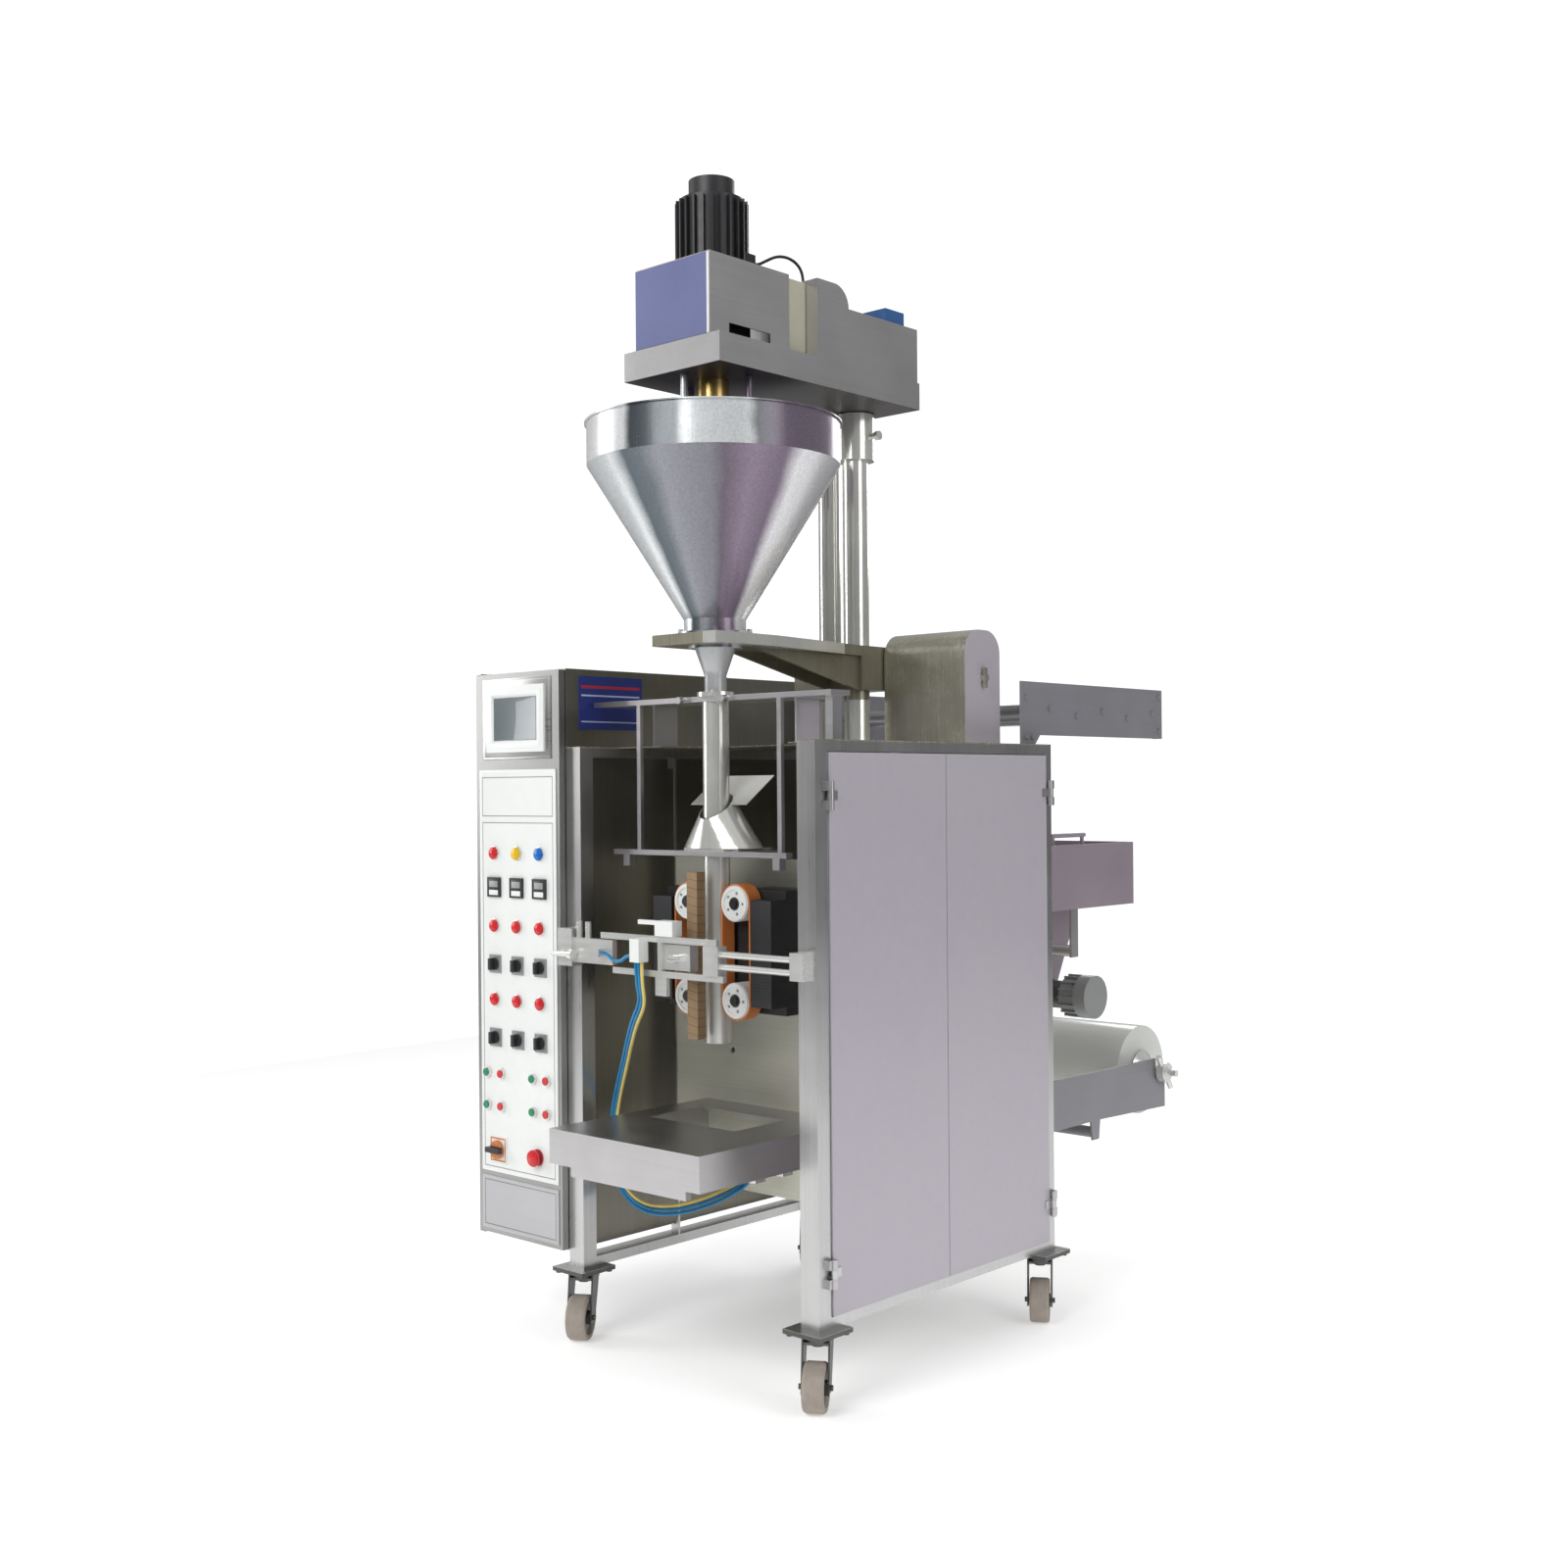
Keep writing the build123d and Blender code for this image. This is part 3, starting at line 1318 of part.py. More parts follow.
def air_line(points, radius=air_r):
    radii = corner_radii(points)
    path = FilletPolyline(*points, radius=radii)
    line = Wire(path.edges())
    section = Plane(origin=line @ 0, z_dir=line % 0) * Circle(radius)
    tube = sweep(section, path=line)
    print("line", round(line.length), "mm, radii", [round(r) for r in radii],
          "volume ratio", round(tube.volume / (pi * radius ** 2 * line.length), 3))
    return tube


def line_route(number):
    """Way of one line from the port block, down beside the table and under it to the jaws."""
    y = seal_rail_y - 20
    gap = 2 * air_r + 1.5
    bottom = jaw_z - 28
    x0 = port_left + 6
    way = [
        (x0, y, 901, 1, 0), (x0, y, 858, 1, 0), (x0, y + 12, 812, 0.9, -0.4),
        (x0 - 46, y + 30, 768, 0.72, -0.69), (x0 - 92, y + 56, 715, 0.75, -0.66),
        (x0 - 140, y + 86, 660, 0.78, -0.62), (-286, y + 106, 605, 0.84, -0.54),
        (-318, y + 120, 548, 0.93, -0.36), (-332, y + 124, 492, 1, -0.1), (-334, y + 124, 428, 1, 0),
        (-318, y + 124, 370, 0.85, 0.5), (-282, y + 126, 322, 0.35, 0.95), (-226, y + 134, 298, 0, 1),
        (-160, y + 152, 300, -0.1, 1), (-100, y + 186, 316, -0.3, 1), (-46, y + 234, 346, -0.7, 0.75),
        (-6, y + 268, bottom - 40, -1, 0.1), (-6, y + 268, bottom, -1, 0)]
    return [(x + kx * number * gap, y, z + kz * number * gap) for x, y, z, kx, kz in way]


def loop_route():
    """Short loop from the port block to the elbow on the carrier."""
    y = seal_rail_y - 20
    x0 = port_left
    return [(x0, y, 915), (x0 - 20, y, 915), (x0 - 42, y - 1, 899), (x0 - 68, y - 1, 899), (x0 - 92, y, 915),
            (elbow_x, y, 915)]


def cable_start_y():
    return tube_y + 64


def cable_route():
    """Motor cable's arch from the motor's terminal box to the gland on the rear cover."""
    y = cable_start_y()
    z = box_top + 24
    return [(55, y, z), (55, y + 24, z), (57, y + 52, z + 16), (60, y + 86, z + 34), (63, y + 122, z + 38),
            (65, y + 154, z + 28), (66, y + 170, z + 5), (66, y + 170, z - 20)]


def cable_gland():
    x, y, z = cable_route()[-1]
    return rod("z", x, y, cover_top + 10, 8, z - cover_top - 10)


# Machine -------------------------------------------------------------------


def frame():
    return group([frame_posts(), frame_rails(), plate_brackets(), door_hinges(), caster_plates(),
                  caster_bolts()])


def control_panel():
    return group([panel_face(), foot_plate(), hmi_bezel(), hmi_screen(), lamps(), timers(), knob_plates(),
                  button_rings()])


def build_nodes():
    nodes = {
        "frame": frame(),
        "deck_and_hood": group([deck_plate(), hood(), wing_screw()]),
        "mechanism_plate": group([mechanism_plate(), back_panel(), belt_guides()]),
        "cabinet_shell": group([cabinet_shell(), control_gear(), gear_standoffs(), name_plate()]),
        "cabinet_door": cabinet_door(),
        "control_panel": control_panel(),
        "estop_button": estop(),
        "main_switch": main_switch(),
        "front_side_door": front_door(),
        "rear_side_door": back_door(),
        "table_tray": group([table_tray(), jaw_guides(), jaw_cylinder()]),
        "front_jaw": jaw(True),
        "rear_jaw": jaw(False),
        "forming_frame": group([former_top_plate(), former_cheeks(), former_stays(), former_low_plate(),
                                former_knobs()]),
        "forming_tube": group([former_tube(), former_ring(), former_collar()]),
        "seal_carrier": group([seal_carrier(), seal_pins(), seal_rods(), seal_cylinder(), port_block(),
                               heat_block()]),
        "seal_bar": seal_bar(),
        "support_column": group([pillars(), pillar_sleeve(), clamp_screws(), support_arm()]),
        "hopper": group([hopper(), hopper_clamps(), auger_tube(), agitator_bridge(), brass_bush()]),
        "auger": auger(),
        "agitator": agitator(),
        "head_housing": group([head_tray(), head_box(), front_plate(), head_spacer(),
                               head_cover() + cable_gland(), blue_box()]),
        "head_drives": group([motor(), head_gearbox(), head_gear_feet(), agitator_motor()]),
        "film_side_plates": group([film_sides(), roll_arms(), side_bolts()]),
        "idler_roller": idler(),
        "film_guide_frame": group([web_box(), unwind_bracket(), gear_motor()]),
        "dancer": dancer(),
        "pull_roller": pull_roller(),
        "film_roll": group([film_roll(), roll_core(), spindle()]),
        "air_lines_blue": group([air_line(line_route(0)), air_line(line_route(1)), air_line(loop_route())]),
        "air_line_yellow": air_line(line_route(2)),
        "head_cable": air_line(cable_route(), cable_r),
    }
    for name, side in (("left", -1), ("right", 1)):
        nodes[f"{name}_belt_unit"] = group([belt_unit(side), belt(side)])
        nodes[f"{name}_upper_pulley"] = pulley(side, belt_high)
        nodes[f"{name}_lower_pulley"] = pulley(side, belt_low)
    for k, (x, z) in enumerate(knob_places(), 1):
        nodes[f"selector_{k}"] = knob(x, z)
    for k, (x, z) in enumerate(button_places(), 1):
        nodes[f"push_button_{k}"] = push_button(x, z)
    for name, (x, y) in zip(corner_names(), caster_places()):
        nodes[f"{name}_caster_fork"] = placed_fork(x, y)
        nodes[f"{name}_caster_wheel"] = placed_wheel(x, y)
    return nodes


def corner_names():
    return ("front_left", "front_right", "rear_left", "rear_right")


def machine_shift(nodes):
    """Move that puts the bottom centre of the whole box at the origin."""
    boxes = [shape.bounding_box() for shape in nodes.values()]
    x = (min(b.min.X for b in boxes) + max(b.max.X for b in boxes)) / 2
    y = (min(b.min.Y for b in boxes) + max(b.max.Y for b in boxes)) / 2
    return (-x, -y)


def export(nodes):
    os.makedirs("parts", exist_ok=True)
    x, y = machine_shift(nodes)
    for name, shape in nodes.items():
        export_step(Pos(x, y, 0) * shape, f"parts/{name}.step")


if __name__ == "__main__":
    export(build_nodes())
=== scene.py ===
from math import pi, radians

import bpy
from mathutils import Matrix, Vector


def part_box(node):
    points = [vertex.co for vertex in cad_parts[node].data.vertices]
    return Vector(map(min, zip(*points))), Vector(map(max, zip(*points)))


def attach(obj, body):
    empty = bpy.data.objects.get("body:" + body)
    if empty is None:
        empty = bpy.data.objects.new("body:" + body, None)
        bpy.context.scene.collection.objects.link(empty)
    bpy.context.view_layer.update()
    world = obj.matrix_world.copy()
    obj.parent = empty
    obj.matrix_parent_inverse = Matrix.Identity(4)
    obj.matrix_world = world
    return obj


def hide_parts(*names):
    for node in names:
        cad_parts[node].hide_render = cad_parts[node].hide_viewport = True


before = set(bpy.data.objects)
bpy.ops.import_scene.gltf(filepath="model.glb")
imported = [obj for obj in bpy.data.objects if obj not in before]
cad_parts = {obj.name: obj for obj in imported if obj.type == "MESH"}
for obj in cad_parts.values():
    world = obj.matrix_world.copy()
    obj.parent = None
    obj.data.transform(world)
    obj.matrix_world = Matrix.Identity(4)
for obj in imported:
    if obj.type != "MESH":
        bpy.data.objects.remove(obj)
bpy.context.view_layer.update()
print("frame loaded", len(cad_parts), "nodes")

# The machine is laid out about the filling tube, in mm, X right, Y back, Z up.
hopperLow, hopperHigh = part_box("hopper")
tubeY = -320
originX = (hopperLow.x + hopperHigh.x) / 2
originY = (hopperLow.y + hopperHigh.y) / 2 - tubeY / 1000


def at(x, y, z):
    return Vector((originX + x / 1000, originY + y / 1000, z / 1000))


# Camera

cameraSetup = {
    "place": (2766.4, -3131.2, 1282.5),
    "turn": 42.33,
    "roll": -0.46,
    "lens": 40.2,
    "shift": 0.0034,
}


def addCamera(setup):
    bpy.ops.object.camera_add(location=at(*setup["place"]))
    camera = bpy.context.object
    turn = Matrix.Rotation(radians(setup["turn"]), 4, "Z") @ Matrix.Rotation(pi / 2, 4, "X")
    turn = turn @ Matrix.Rotation(radians(setup["roll"]), 4, "Z")
    camera.rotation_euler = turn.to_euler()
    camera.data.lens = setup["lens"]
    camera.data.shift_y = setup["shift"]
    camera.data.clip_end = 60
    bpy.context.scene.camera = camera


addCamera(cameraSetup)
print("camera placed")


# Shader wiring

class Wire:
    # a socket that can be used in sums, each sum is one Math node
    def __init__(self, board, socket):
        self.board = board
        self.socket = socket

    def __add__(self, other):
        return self.board.sum("ADD", self, other)

    __radd__ = __add__

    def __sub__(self, other):
        return self.board.sum("SUBTRACT", self, other)

    def __rsub__(self, other):
        return self.board.sum("SUBTRACT", other, self)

    def __mul__(self, other):
        return self.board.sum("MULTIPLY", self, other)

    __rmul__ = __mul__

    def __lt__(self, other):
        return self.board.sum("LESS_THAN", self, other)

    def __gt__(self, other):
        return self.board.sum("GREATER_THAN", self, other)


class Board:
    # the node tree of one material
    def __init__(self, name):
        self.material = bpy.data.materials.new(name)
        self.material.use_nodes = True
        self.tree = self.material.node_tree
        self.shader = self.tree.nodes["Principled BSDF"]
        self.place = self.node("ShaderNodeTexCoord", {}, {}, "Object")

    def node(self, kind, settings, inputs, output=0):
        made = self.tree.nodes.new(kind)
        for key, value in settings.items():
            if key == "stops":
                setStops(made.color_ramp, value)
            else:
                setattr(made, key, value)
        for key, value in inputs.items():
            if isinstance(value, Wire):
                self.tree.links.new(value.socket, made.inputs[key])
            else:
                made.inputs[key].default_value = value
        return Wire(self, made.outputs[output])

    def sum(self, operation, a, b):
        return self.node("ShaderNodeMath", {"operation": operation}, {0: a, 1: b})

    def colour(self, mask, a, b):
        return self.node("ShaderNodeMix", {"data_type": "RGBA"}, {0: mask, 6: a, 7: b}, 2)

    def noise(self, scale, detail=3, stretch=(1, 1, 1)):
        spot = self.node("ShaderNodeMapping", {}, {"Vector": self.place, "Scale": stretch})
        return self.node("ShaderNodeTexNoise", {}, {"Vector": spot, "Scale": scale, "Detail": detail}, "Fac")

    def ramp(self, value, stops):
        return self.node("ShaderNodeValToRGB", {"stops": stops}, {"Fac": value})

    def axes(self, vector):
        split = self.tree.nodes.new("ShaderNodeSeparateXYZ")
        self.tree.links.new(vector.socket, split.inputs[0])
        return [Wire(self, s) for s in split.outputs]

    def vector(self, operation, a, b=(0, 0, 0)):
        return self.node("ShaderNodeVectorMath", {"operation": operation}, {0: a, 1: b})

    def inside(self, low, high):
        # 1 inside a box given by two corners in mm
        a, b = at(*low), at(*high)
        off = self.vector("SUBTRACT", self.place, (a + b) / 2)
        off = self.vector("SUBTRACT", self.vector("ABSOLUTE", off), (b - a) / 2)
        x, y, z = self.axes(off)
        return self.sum("MAXIMUM", self.sum("MAXIMUM", x, y), z) < 0.0

    def round(self, x, y, z, axis):
        # distance in metres from a straight axis through a point in mm
        keep = [0.0 if name == axis else 1.0 for name in "xyz"]
        off = self.vector("SUBTRACT", self.place, at(x, y, z))
        off = self.vector("MULTIPLY", off, keep)
        return self.node("ShaderNodeVectorMath", {"operation": "LENGTH"}, {0: off}, "Value")

    def bump(self, height, depth, strength=0.3):
        return self.node("ShaderNodeBump", {}, {"Height": height, "Distance": depth, "Strength": strength})

    def link(self, **sockets):
        for name, value in sockets.items():
            socket = self.shader.inputs[name.replace("_", " ")]
            if isinstance(value, Wire):
                self.tree.links.new(value.socket, socket)
            else:
                socket.default_value = value
        return self.material


def setStops(ramp, stops):
    while len(ramp.elements) > 1:
        ramp.elements.remove(ramp.elements[0])
    ramp.elements[0].position = stops[0][0]
    ramp.elements[0].color = stops[0][1]
    for place, colour in stops[1:]:
        ramp.elements.new(place).color = colour


def shade(value):
    return (*value, 1)


# Finishes. Each has a dark and a light tone, a roughness and how metallic it is.

finishes = {
    "post": {"dark": (0.40, 0.40, 0.40), "light": (0.72, 0.72, 0.71), "rough": 0.30, "metal": 1.0},
    "sheet": {"dark": (0.42, 0.41, 0.42), "light": (0.66, 0.65, 0.65), "rough": 0.34, "metal": 1.0},
    "lilac": {"dark": (0.43, 0.40, 0.455), "light": (0.53, 0.50, 0.55), "rough": 0.38, "metal": 0.15},
    # inner: a darker tone for inside surfaces, painted shade where the walls stand in shade
    "inner": {"dark": (0.28, 0.27, 0.23), "light": (0.58, 0.56, 0.48), "rough": 0.38, "metal": 0.5},
    "satin": {"dark": (0.62, 0.62, 0.57), "light": (0.94, 0.94, 0.90), "rough": 0.16, "metal": 0.65},
    "doorSteel": {"dark": (0.26, 0.26, 0.25), "light": (0.46, 0.46, 0.45), "rough": 0.34, "metal": 1.0},
    "footTone": {"dark": (0.40, 0.40, 0.41), "light": (0.54, 0.54, 0.55), "rough": 0.42, "metal": 0.0},
    "skin": {"dark": (0.36, 0.37, 0.38), "light": (0.58, 0.59, 0.60), "rough": 0.24, "metal": 0.35},
    "mottled": {"dark": (0.13, 0.11, 0.06), "light": (0.78, 0.77, 0.66), "rough": 0.26, "metal": 0.7},
    # the arm's own brownish tone, darkened to a painted shade for the gusset's shadow on it
    "armShadedTone": {"dark": (0.10, 0.085, 0.05), "light": (0.46, 0.44, 0.35), "rough": 0.3, "metal": 0.5},
    "plateSteel": {"dark": (0.20, 0.20, 0.22), "light": (0.32, 0.31, 0.34), "rough": 0.45, "metal": 0.2},
    "webLilac": {"dark": (0.24, 0.20, 0.235), "light": (0.36, 0.30, 0.35), "rough": 0.42, "metal": 0.1},
    "shade": {"dark": (0.035, 0.03, 0.03), "light": (0.09, 0.08, 0.08), "rough": 0.45, "metal": 0.5},
    # painted shade: a darker steel tone for the cabinet's right face, which stands in shade
    "shadedSideSteel": {"dark": (0.17, 0.16, 0.13), "light": (0.34, 0.33, 0.28), "rough": 0.34, "metal": 0.9},
    "machined": {"dark": (0.55, 0.56, 0.53), "light": (0.92, 0.92, 0.90), "rough": 0.24, "metal": 0.6},
    "cream": {"dark": (0.50, 0.49, 0.40), "light": (0.82, 0.81, 0.71), "rough": 0.36, "metal": 0.5},
    "black": {"dark": (0.012, 0.012, 0.014), "light": (0.03, 0.03, 0.033), "rough": 0.42, "metal": 0.0},
    "plated": {"dark": (0.06, 0.06, 0.06), "light": (0.17, 0.17, 0.16), "rough": 0.4, "metal": 0.8},
    "white": {"dark": (0.74, 0.76, 0.74), "light": (0.84, 0.86, 0.84), "rough": 0.45, "metal": 0.0},
    "blue": {"dark": (0.095, 0.11, 0.255), "light": (0.17, 0.19, 0.37), "rough": 0.4, "metal": 0.0},
    "deepBlue": {"dark": (0.015, 0.025, 0.16), "light": (0.03, 0.05, 0.26), "rough": 0.35, "metal": 0.0},
    "boxBlue": {"dark": (0.02, 0.09, 0.26), "light": (0.04, 0.14, 0.38), "rough": 0.35, "metal": 0.0},
    "redBand": {"dark": (0.35, 0.02, 0.04), "light": (0.50, 0.04, 0.07), "rough": 0.35, "metal": 0.0},
    "paleBand": {"dark": (0.40, 0.48, 0.70), "light": (0.52, 0.60, 0.80), "rough": 0.35, "metal": 0.0},
    "yellowed": {"dark": (0.52, 0.51, 0.38), "light": (0.70, 0.68, 0.54), "rough": 0.4, "metal": 0.3},
    "brass": {"dark": (0.42, 0.28, 0.09), "light": (0.70, 0.50, 0.20), "rough": 0.28, "metal": 1.0},
    "tape": {"dark": (0.17, 0.10, 0.045), "light": (0.36, 0.24, 0.13), "rough": 0.55, "metal": 0.0},
    "orange": {"dark": (0.50, 0.15, 0.035), "light": (0.68, 0.25, 0.07), "rough": 0.5, "metal": 0.0},
    "tread": {"dark": (0.25, 0.21, 0.18), "light": (0.42, 0.37, 0.32), "rough": 0.72, "metal": 0.0},
    "gearGrey": {"dark": (0.24, 0.25, 0.25), "light": (0.36, 0.37, 0.37), "rough": 0.42, "metal": 0.3},
    "film": {"dark": (0.64, 0.66, 0.62), "light": (0.80, 0.82, 0.78), "rough": 0.22, "metal": 0.0},
    "card": {"dark": (0.34, 0.24, 0.14), "light": (0.48, 0.36, 0.22), "rough": 0.8, "metal": 0.0},
    "red": {"dark": (0.52, 0.01, 0.015), "light": (0.70, 0.025, 0.03), "rough": 0.26, "metal": 0.0},
    "green": {"dark": (0.0, 0.17, 0.075), "light": (0.01, 0.27, 0.12), "rough": 0.28, "metal": 0.0},
    "amber": {"dark": (0.68, 0.42, 0.0), "light": (0.82, 0.56, 0.02), "rough": 0.26, "metal": 0.0},
    "lampBlue": {"dark": (0.0, 0.10, 0.42), "light": (0.015, 0.18, 0.58), "rough": 0.26, "metal": 0.0},
    "hoseBlue": {"dark": (0.0, 0.14, 0.34), "light": (0.015, 0.26, 0.50), "rough": 0.3, "metal": 0.0},
    "hoseYellow": {"dark": (0.62, 0.47, 0.10), "light": (0.80, 0.64, 0.22), "rough": 0.35, "metal": 0.0},
}
grains = {"x": (2, 260, 260), "y": (260, 2, 260), "z": (260, 260, 2), "none": (40, 40, 40)}


def finishOf(name, base, zones=(), grain="z", cloud=5, depth=0.00004, extra=None):
    # one material: a base finish, and other finishes inside boxes or other masks
    board = Board(name)
    blotch = board.noise(cloud, 4)
    fine = board.noise(1, 2, grains[grain])
    blend = blotch * 0.65 + fine * 0.35
    look = finishes[base]
    colour = board.colour(blend, shade(look["dark"]), shade(look["light"]))
    rough = blotch * 0.14 + fine * 0.10 + (look["rough"] - 0.12)
    metal = look["metal"]
    for zoneFinish, where in zones:
        look = finishes[zoneFinish]
        mask = where(board) if callable(where) else board.inside(*where)
        tone = board.colour(blend, shade(look["dark"]), shade(look["light"]))
        colour = board.colour(mask, colour, tone)
        rough = rough * (1 - mask) + mask * (blotch * 0.14 + (look["rough"] - 0.07))
        metal = metal * (1 - mask) + mask * look["metal"]
    height = fine * 0.7 + blotch * 0.3
    if extra:
        colour, height = extra(board, colour, height)
    return board.link(Base_Color=colour, Roughness=rough, Metallic=metal, Normal=board.bump(height, depth))


def smoothCad(obj):
    # curved CAD faces shade round, and edges over 30 degrees stay crisp
    for face in obj.data.polygons:
        face.use_smooth = True
    weld = obj.modifiers.new("weld", "WELD")
    weld.merge_threshold = 0.00001
    split = obj.modifiers.new("split", "EDGE_SPLIT")
    split.split_angle = radians(30)


def dress(node, material):
    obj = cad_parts[node]
    obj.data.materials.clear()
    obj.data.materials.append(material)


# Dressing of the CAD nodes

# a reach past every edge of the machine, the height of the hopper's rim and the roll's axis, in mm
big = 4000
rimZ = 2009
rollAxis = (0, 1008, 519, "x")


def endRings(board, colour, height):
    # the wound edge of the roll shows as fine rings
    far = board.round(*rollAxis)
    rings = board.node("ShaderNodeMath", {"operation": "SINE"}, {0: far * 2600.0})
    return colour, height * 0.4 + rings * 0.3


def tapeWrap(board, colour, height):
    # turns of heat tape along the bar
    x, y, z = board.axes(board.place)
    wave = board.node("ShaderNodeMath", {"operation": "SINE"}, {0: z * 330.0 + x * 60.0})
    return board.colour((wave > 0.93) * 0.5, colour, (0.09, 0.05, 0.025, 1)), height * 0.3 + wave * 0.5


def beltGrip(board, colour, height):
    x, y, z = board.axes(board.place)
    wave = board.node("ShaderNodeMath", {"operation": "SINE"}, {0: z * 900.0})
    return colour, height * 0.5 + wave * 0.3


def hopperReflections(board, colour, height):
    # painted reflections: light and dark bands that run down the cone and the rim, set by the angle about
    # the axis
    x, y, z = board.axes(board.vector("SUBTRACT", board.place, at(0, tubeY, rimZ)))
    angle = board.sum("ARCTAN2", y, x)
    turn = angle * (0.5 / pi) + 0.5 + board.noise(14, 2) * 0.012
    cone = board.ramp(turn, [
        (0.10, (0.62, 0.64, 0.65, 1)), (0.23, (0.76, 0.79, 0.80, 1)), (0.258, (0.07, 0.095, 0.115, 1)),
        (0.285, (0.12, 0.145, 0.16, 1)), (0.31, (0.28, 0.29, 0.32, 1)), (0.375, (0.20, 0.20, 0.225, 1)),
        (0.395, (0.13, 0.10, 0.14, 1)), (0.43, (0.25, 0.19, 0.265, 1)), (0.475, (0.17, 0.125, 0.185, 1)),
        (0.50, (0.80, 0.79, 0.81, 1)), (0.62, (0.5, 0.5, 0.52, 1))])
    rim = board.ramp(turn, [
        (0.10, (0.30, 0.27, 0.34, 1)), (0.145, (0.74, 0.75, 0.75, 1)), (0.262, (0.72, 0.73, 0.74, 1)),
        (0.272, (0.05, 0.06, 0.075, 1)), (0.335, (0.11, 0.125, 0.13, 1)), (0.35, (0.74, 0.77, 0.78, 1)),
        (0.42, (0.66, 0.69, 0.70, 1)), (0.432, (0.10, 0.11, 0.12, 1)), (0.46, (0.15, 0.12, 0.165, 1)),
        (0.60, (0.22, 0.185, 0.24, 1))])
    band = board.colour(z > 0.0, cone, rim)
    outside = board.round(0, tubeY, 0, "z") > 0.055
    speck = board.noise(170, 2) * 0.5 + 0.72
    grey = board.node("ShaderNodeCombineXYZ", {}, {0: speck, 1: speck, 2: speck})
    tone = board.vector("MULTIPLY", band, grey)
    return board.colour(outside * 0.97, colour, tone), height


def steelNodes():
    frameZones = [
        ("plated", ((-big, -big, 120), (big, big, 164.5))),
        ("sheet", ((396, -big, 200), (420, big, 1400))),
    ]
    dress("frame", finishOf("frameSteel", "post", frameZones))
    hoodEnd = ("lilac", ((299.2, 200, 1387), (301, 380, 1700)))
    dress("deck_and_hood", finishOf("deckSteel", "mottled", [hoodEnd], cloud=9, depth=0.0004))
    wallZones = [
        # painted shade on the rear part of the plate
        ("inner", ((-big, 380, 0), (big, big, big))),
        ("cream", ((-big, -big, 800), (big, 0, big))),
    ]
    dress("mechanism_plate", finishOf("wallSteel", "cream", wallZones, "x"))
    shellZones = [
        # painted shade on the cabinet's inside walls
        ("inner", ((-702, -424, 203), (-393, 447, 1569))),
        # painted shade on the cabinet's right face
        ("shadedSideSteel", ((-391, -426, 201), (-389.9, 451, 1571))),
        ("deepBlue", ((-389.7, -389, 1428), (-388, -183, 1557))),
        ("redBand", ((-389.7, -380, 1527), (-388, -192, 1534))),
        ("paleBand", ((-389.7, -380, 1508), (-388, -192, 1512))),
        ("paleBand", ((-389.7, -380, 1446), (-388, -192, 1449))),
    ]
    dress("cabinet_shell", finishOf("shellSteel", "sheet", shellZones, "z"))
    dress("cabinet_door", finishOf("doorSteelPan", "doorSteel", (), "z"))
    for door in ("front_side_door", "rear_side_door"):
        edge = ("post", ((394.4, -big, 0), (big, big, big)))
        dress(door, finishOf(door + "Paint", "lilac", [edge], "none", cloud=1.6, depth=0.00002))
    # painted shade inside the tray
    trayZones = [("inner", ((-200, -600, 400), (200, -121, 533.4)))]
    dress("table_tray", finishOf("trayPaint", "sheet", trayZones, "x", cloud=9))
    cheeks = [("lilac", ((219, -299, 1387), (230, -200, 1479)))]
    dress("forming_frame", finishOf("formingSteel", "sheet", cheeks, "x"))
    dress("forming_tube", finishOf("tubeSteel", "satin", (), "z", cloud=12, depth=0.0002))
    # painted shade: the arm is darkened for the gusset's shadow
    arm = ("armShadedTone", ((-180, -430, 1500), (60, 260, 1631)))
    dress("support_column", finishOf("columnSteel", "satin", [arm], "z", cloud=8))
    bush = ("brass", ((-60, -380, 2135), (60, -260, 2202)))
    # the hopper's light and dark bands are painted reflections
    hopperSteel = finishOf("hopperSteel", "skin", [bush], "z", cloud=18, depth=0.0006, extra=hopperReflections)
    dress("hopper", hopperSteel)
    dress("auger", finishOf("augerSteel", "machined"))
    dress("agitator", finishOf("agitatorSteel", "sheet"))
    dress("idler_roller", finishOf("idlerMetal", "machined", (), "x"))
    dress("pull_roller", finishOf("pullMetal", "machined", (), "x"))
    dress("dancer", finishOf("dancerSteel", "sheet"))
    dress("film_side_plates", finishOf("filmPlateSteel", "plateSteel", (), "y"))
    motor = ("gearGrey", ((131, 700, 670), (310, 840, 800)))
    darkGear = ("plated", ((131, 700, 670), (217, 840, 800)))
    dress("film_guide_frame", finishOf("guideSteel", "webLilac", [motor, darkGear], "y"))
    headZones = [
        ("blue", ((-big, -450, 2267), (big, -447.1, 2444))),
        ("white", ((109, -450, 2267), (big, -447.1, 2444))),
        ("shade", ((-113.5, -443.5, 2204.5), (113.5, -192, 2442.5))),
        ("yellowed", ((80, -191, 2204), (112, -129.5, 2442))),
        ("boxBlue", ((59, 121, 2396.4), (143, 196, 2430))),
        ("shade", ((-big, -big, 2200), (big, 241, 2201.6))),
    ]
    dress("head_housing", finishOf("headSteel", "sheet", headZones, "y"))
    dress("head_drives", finishOf("motorBlack", "black", (), "none", cloud=30))


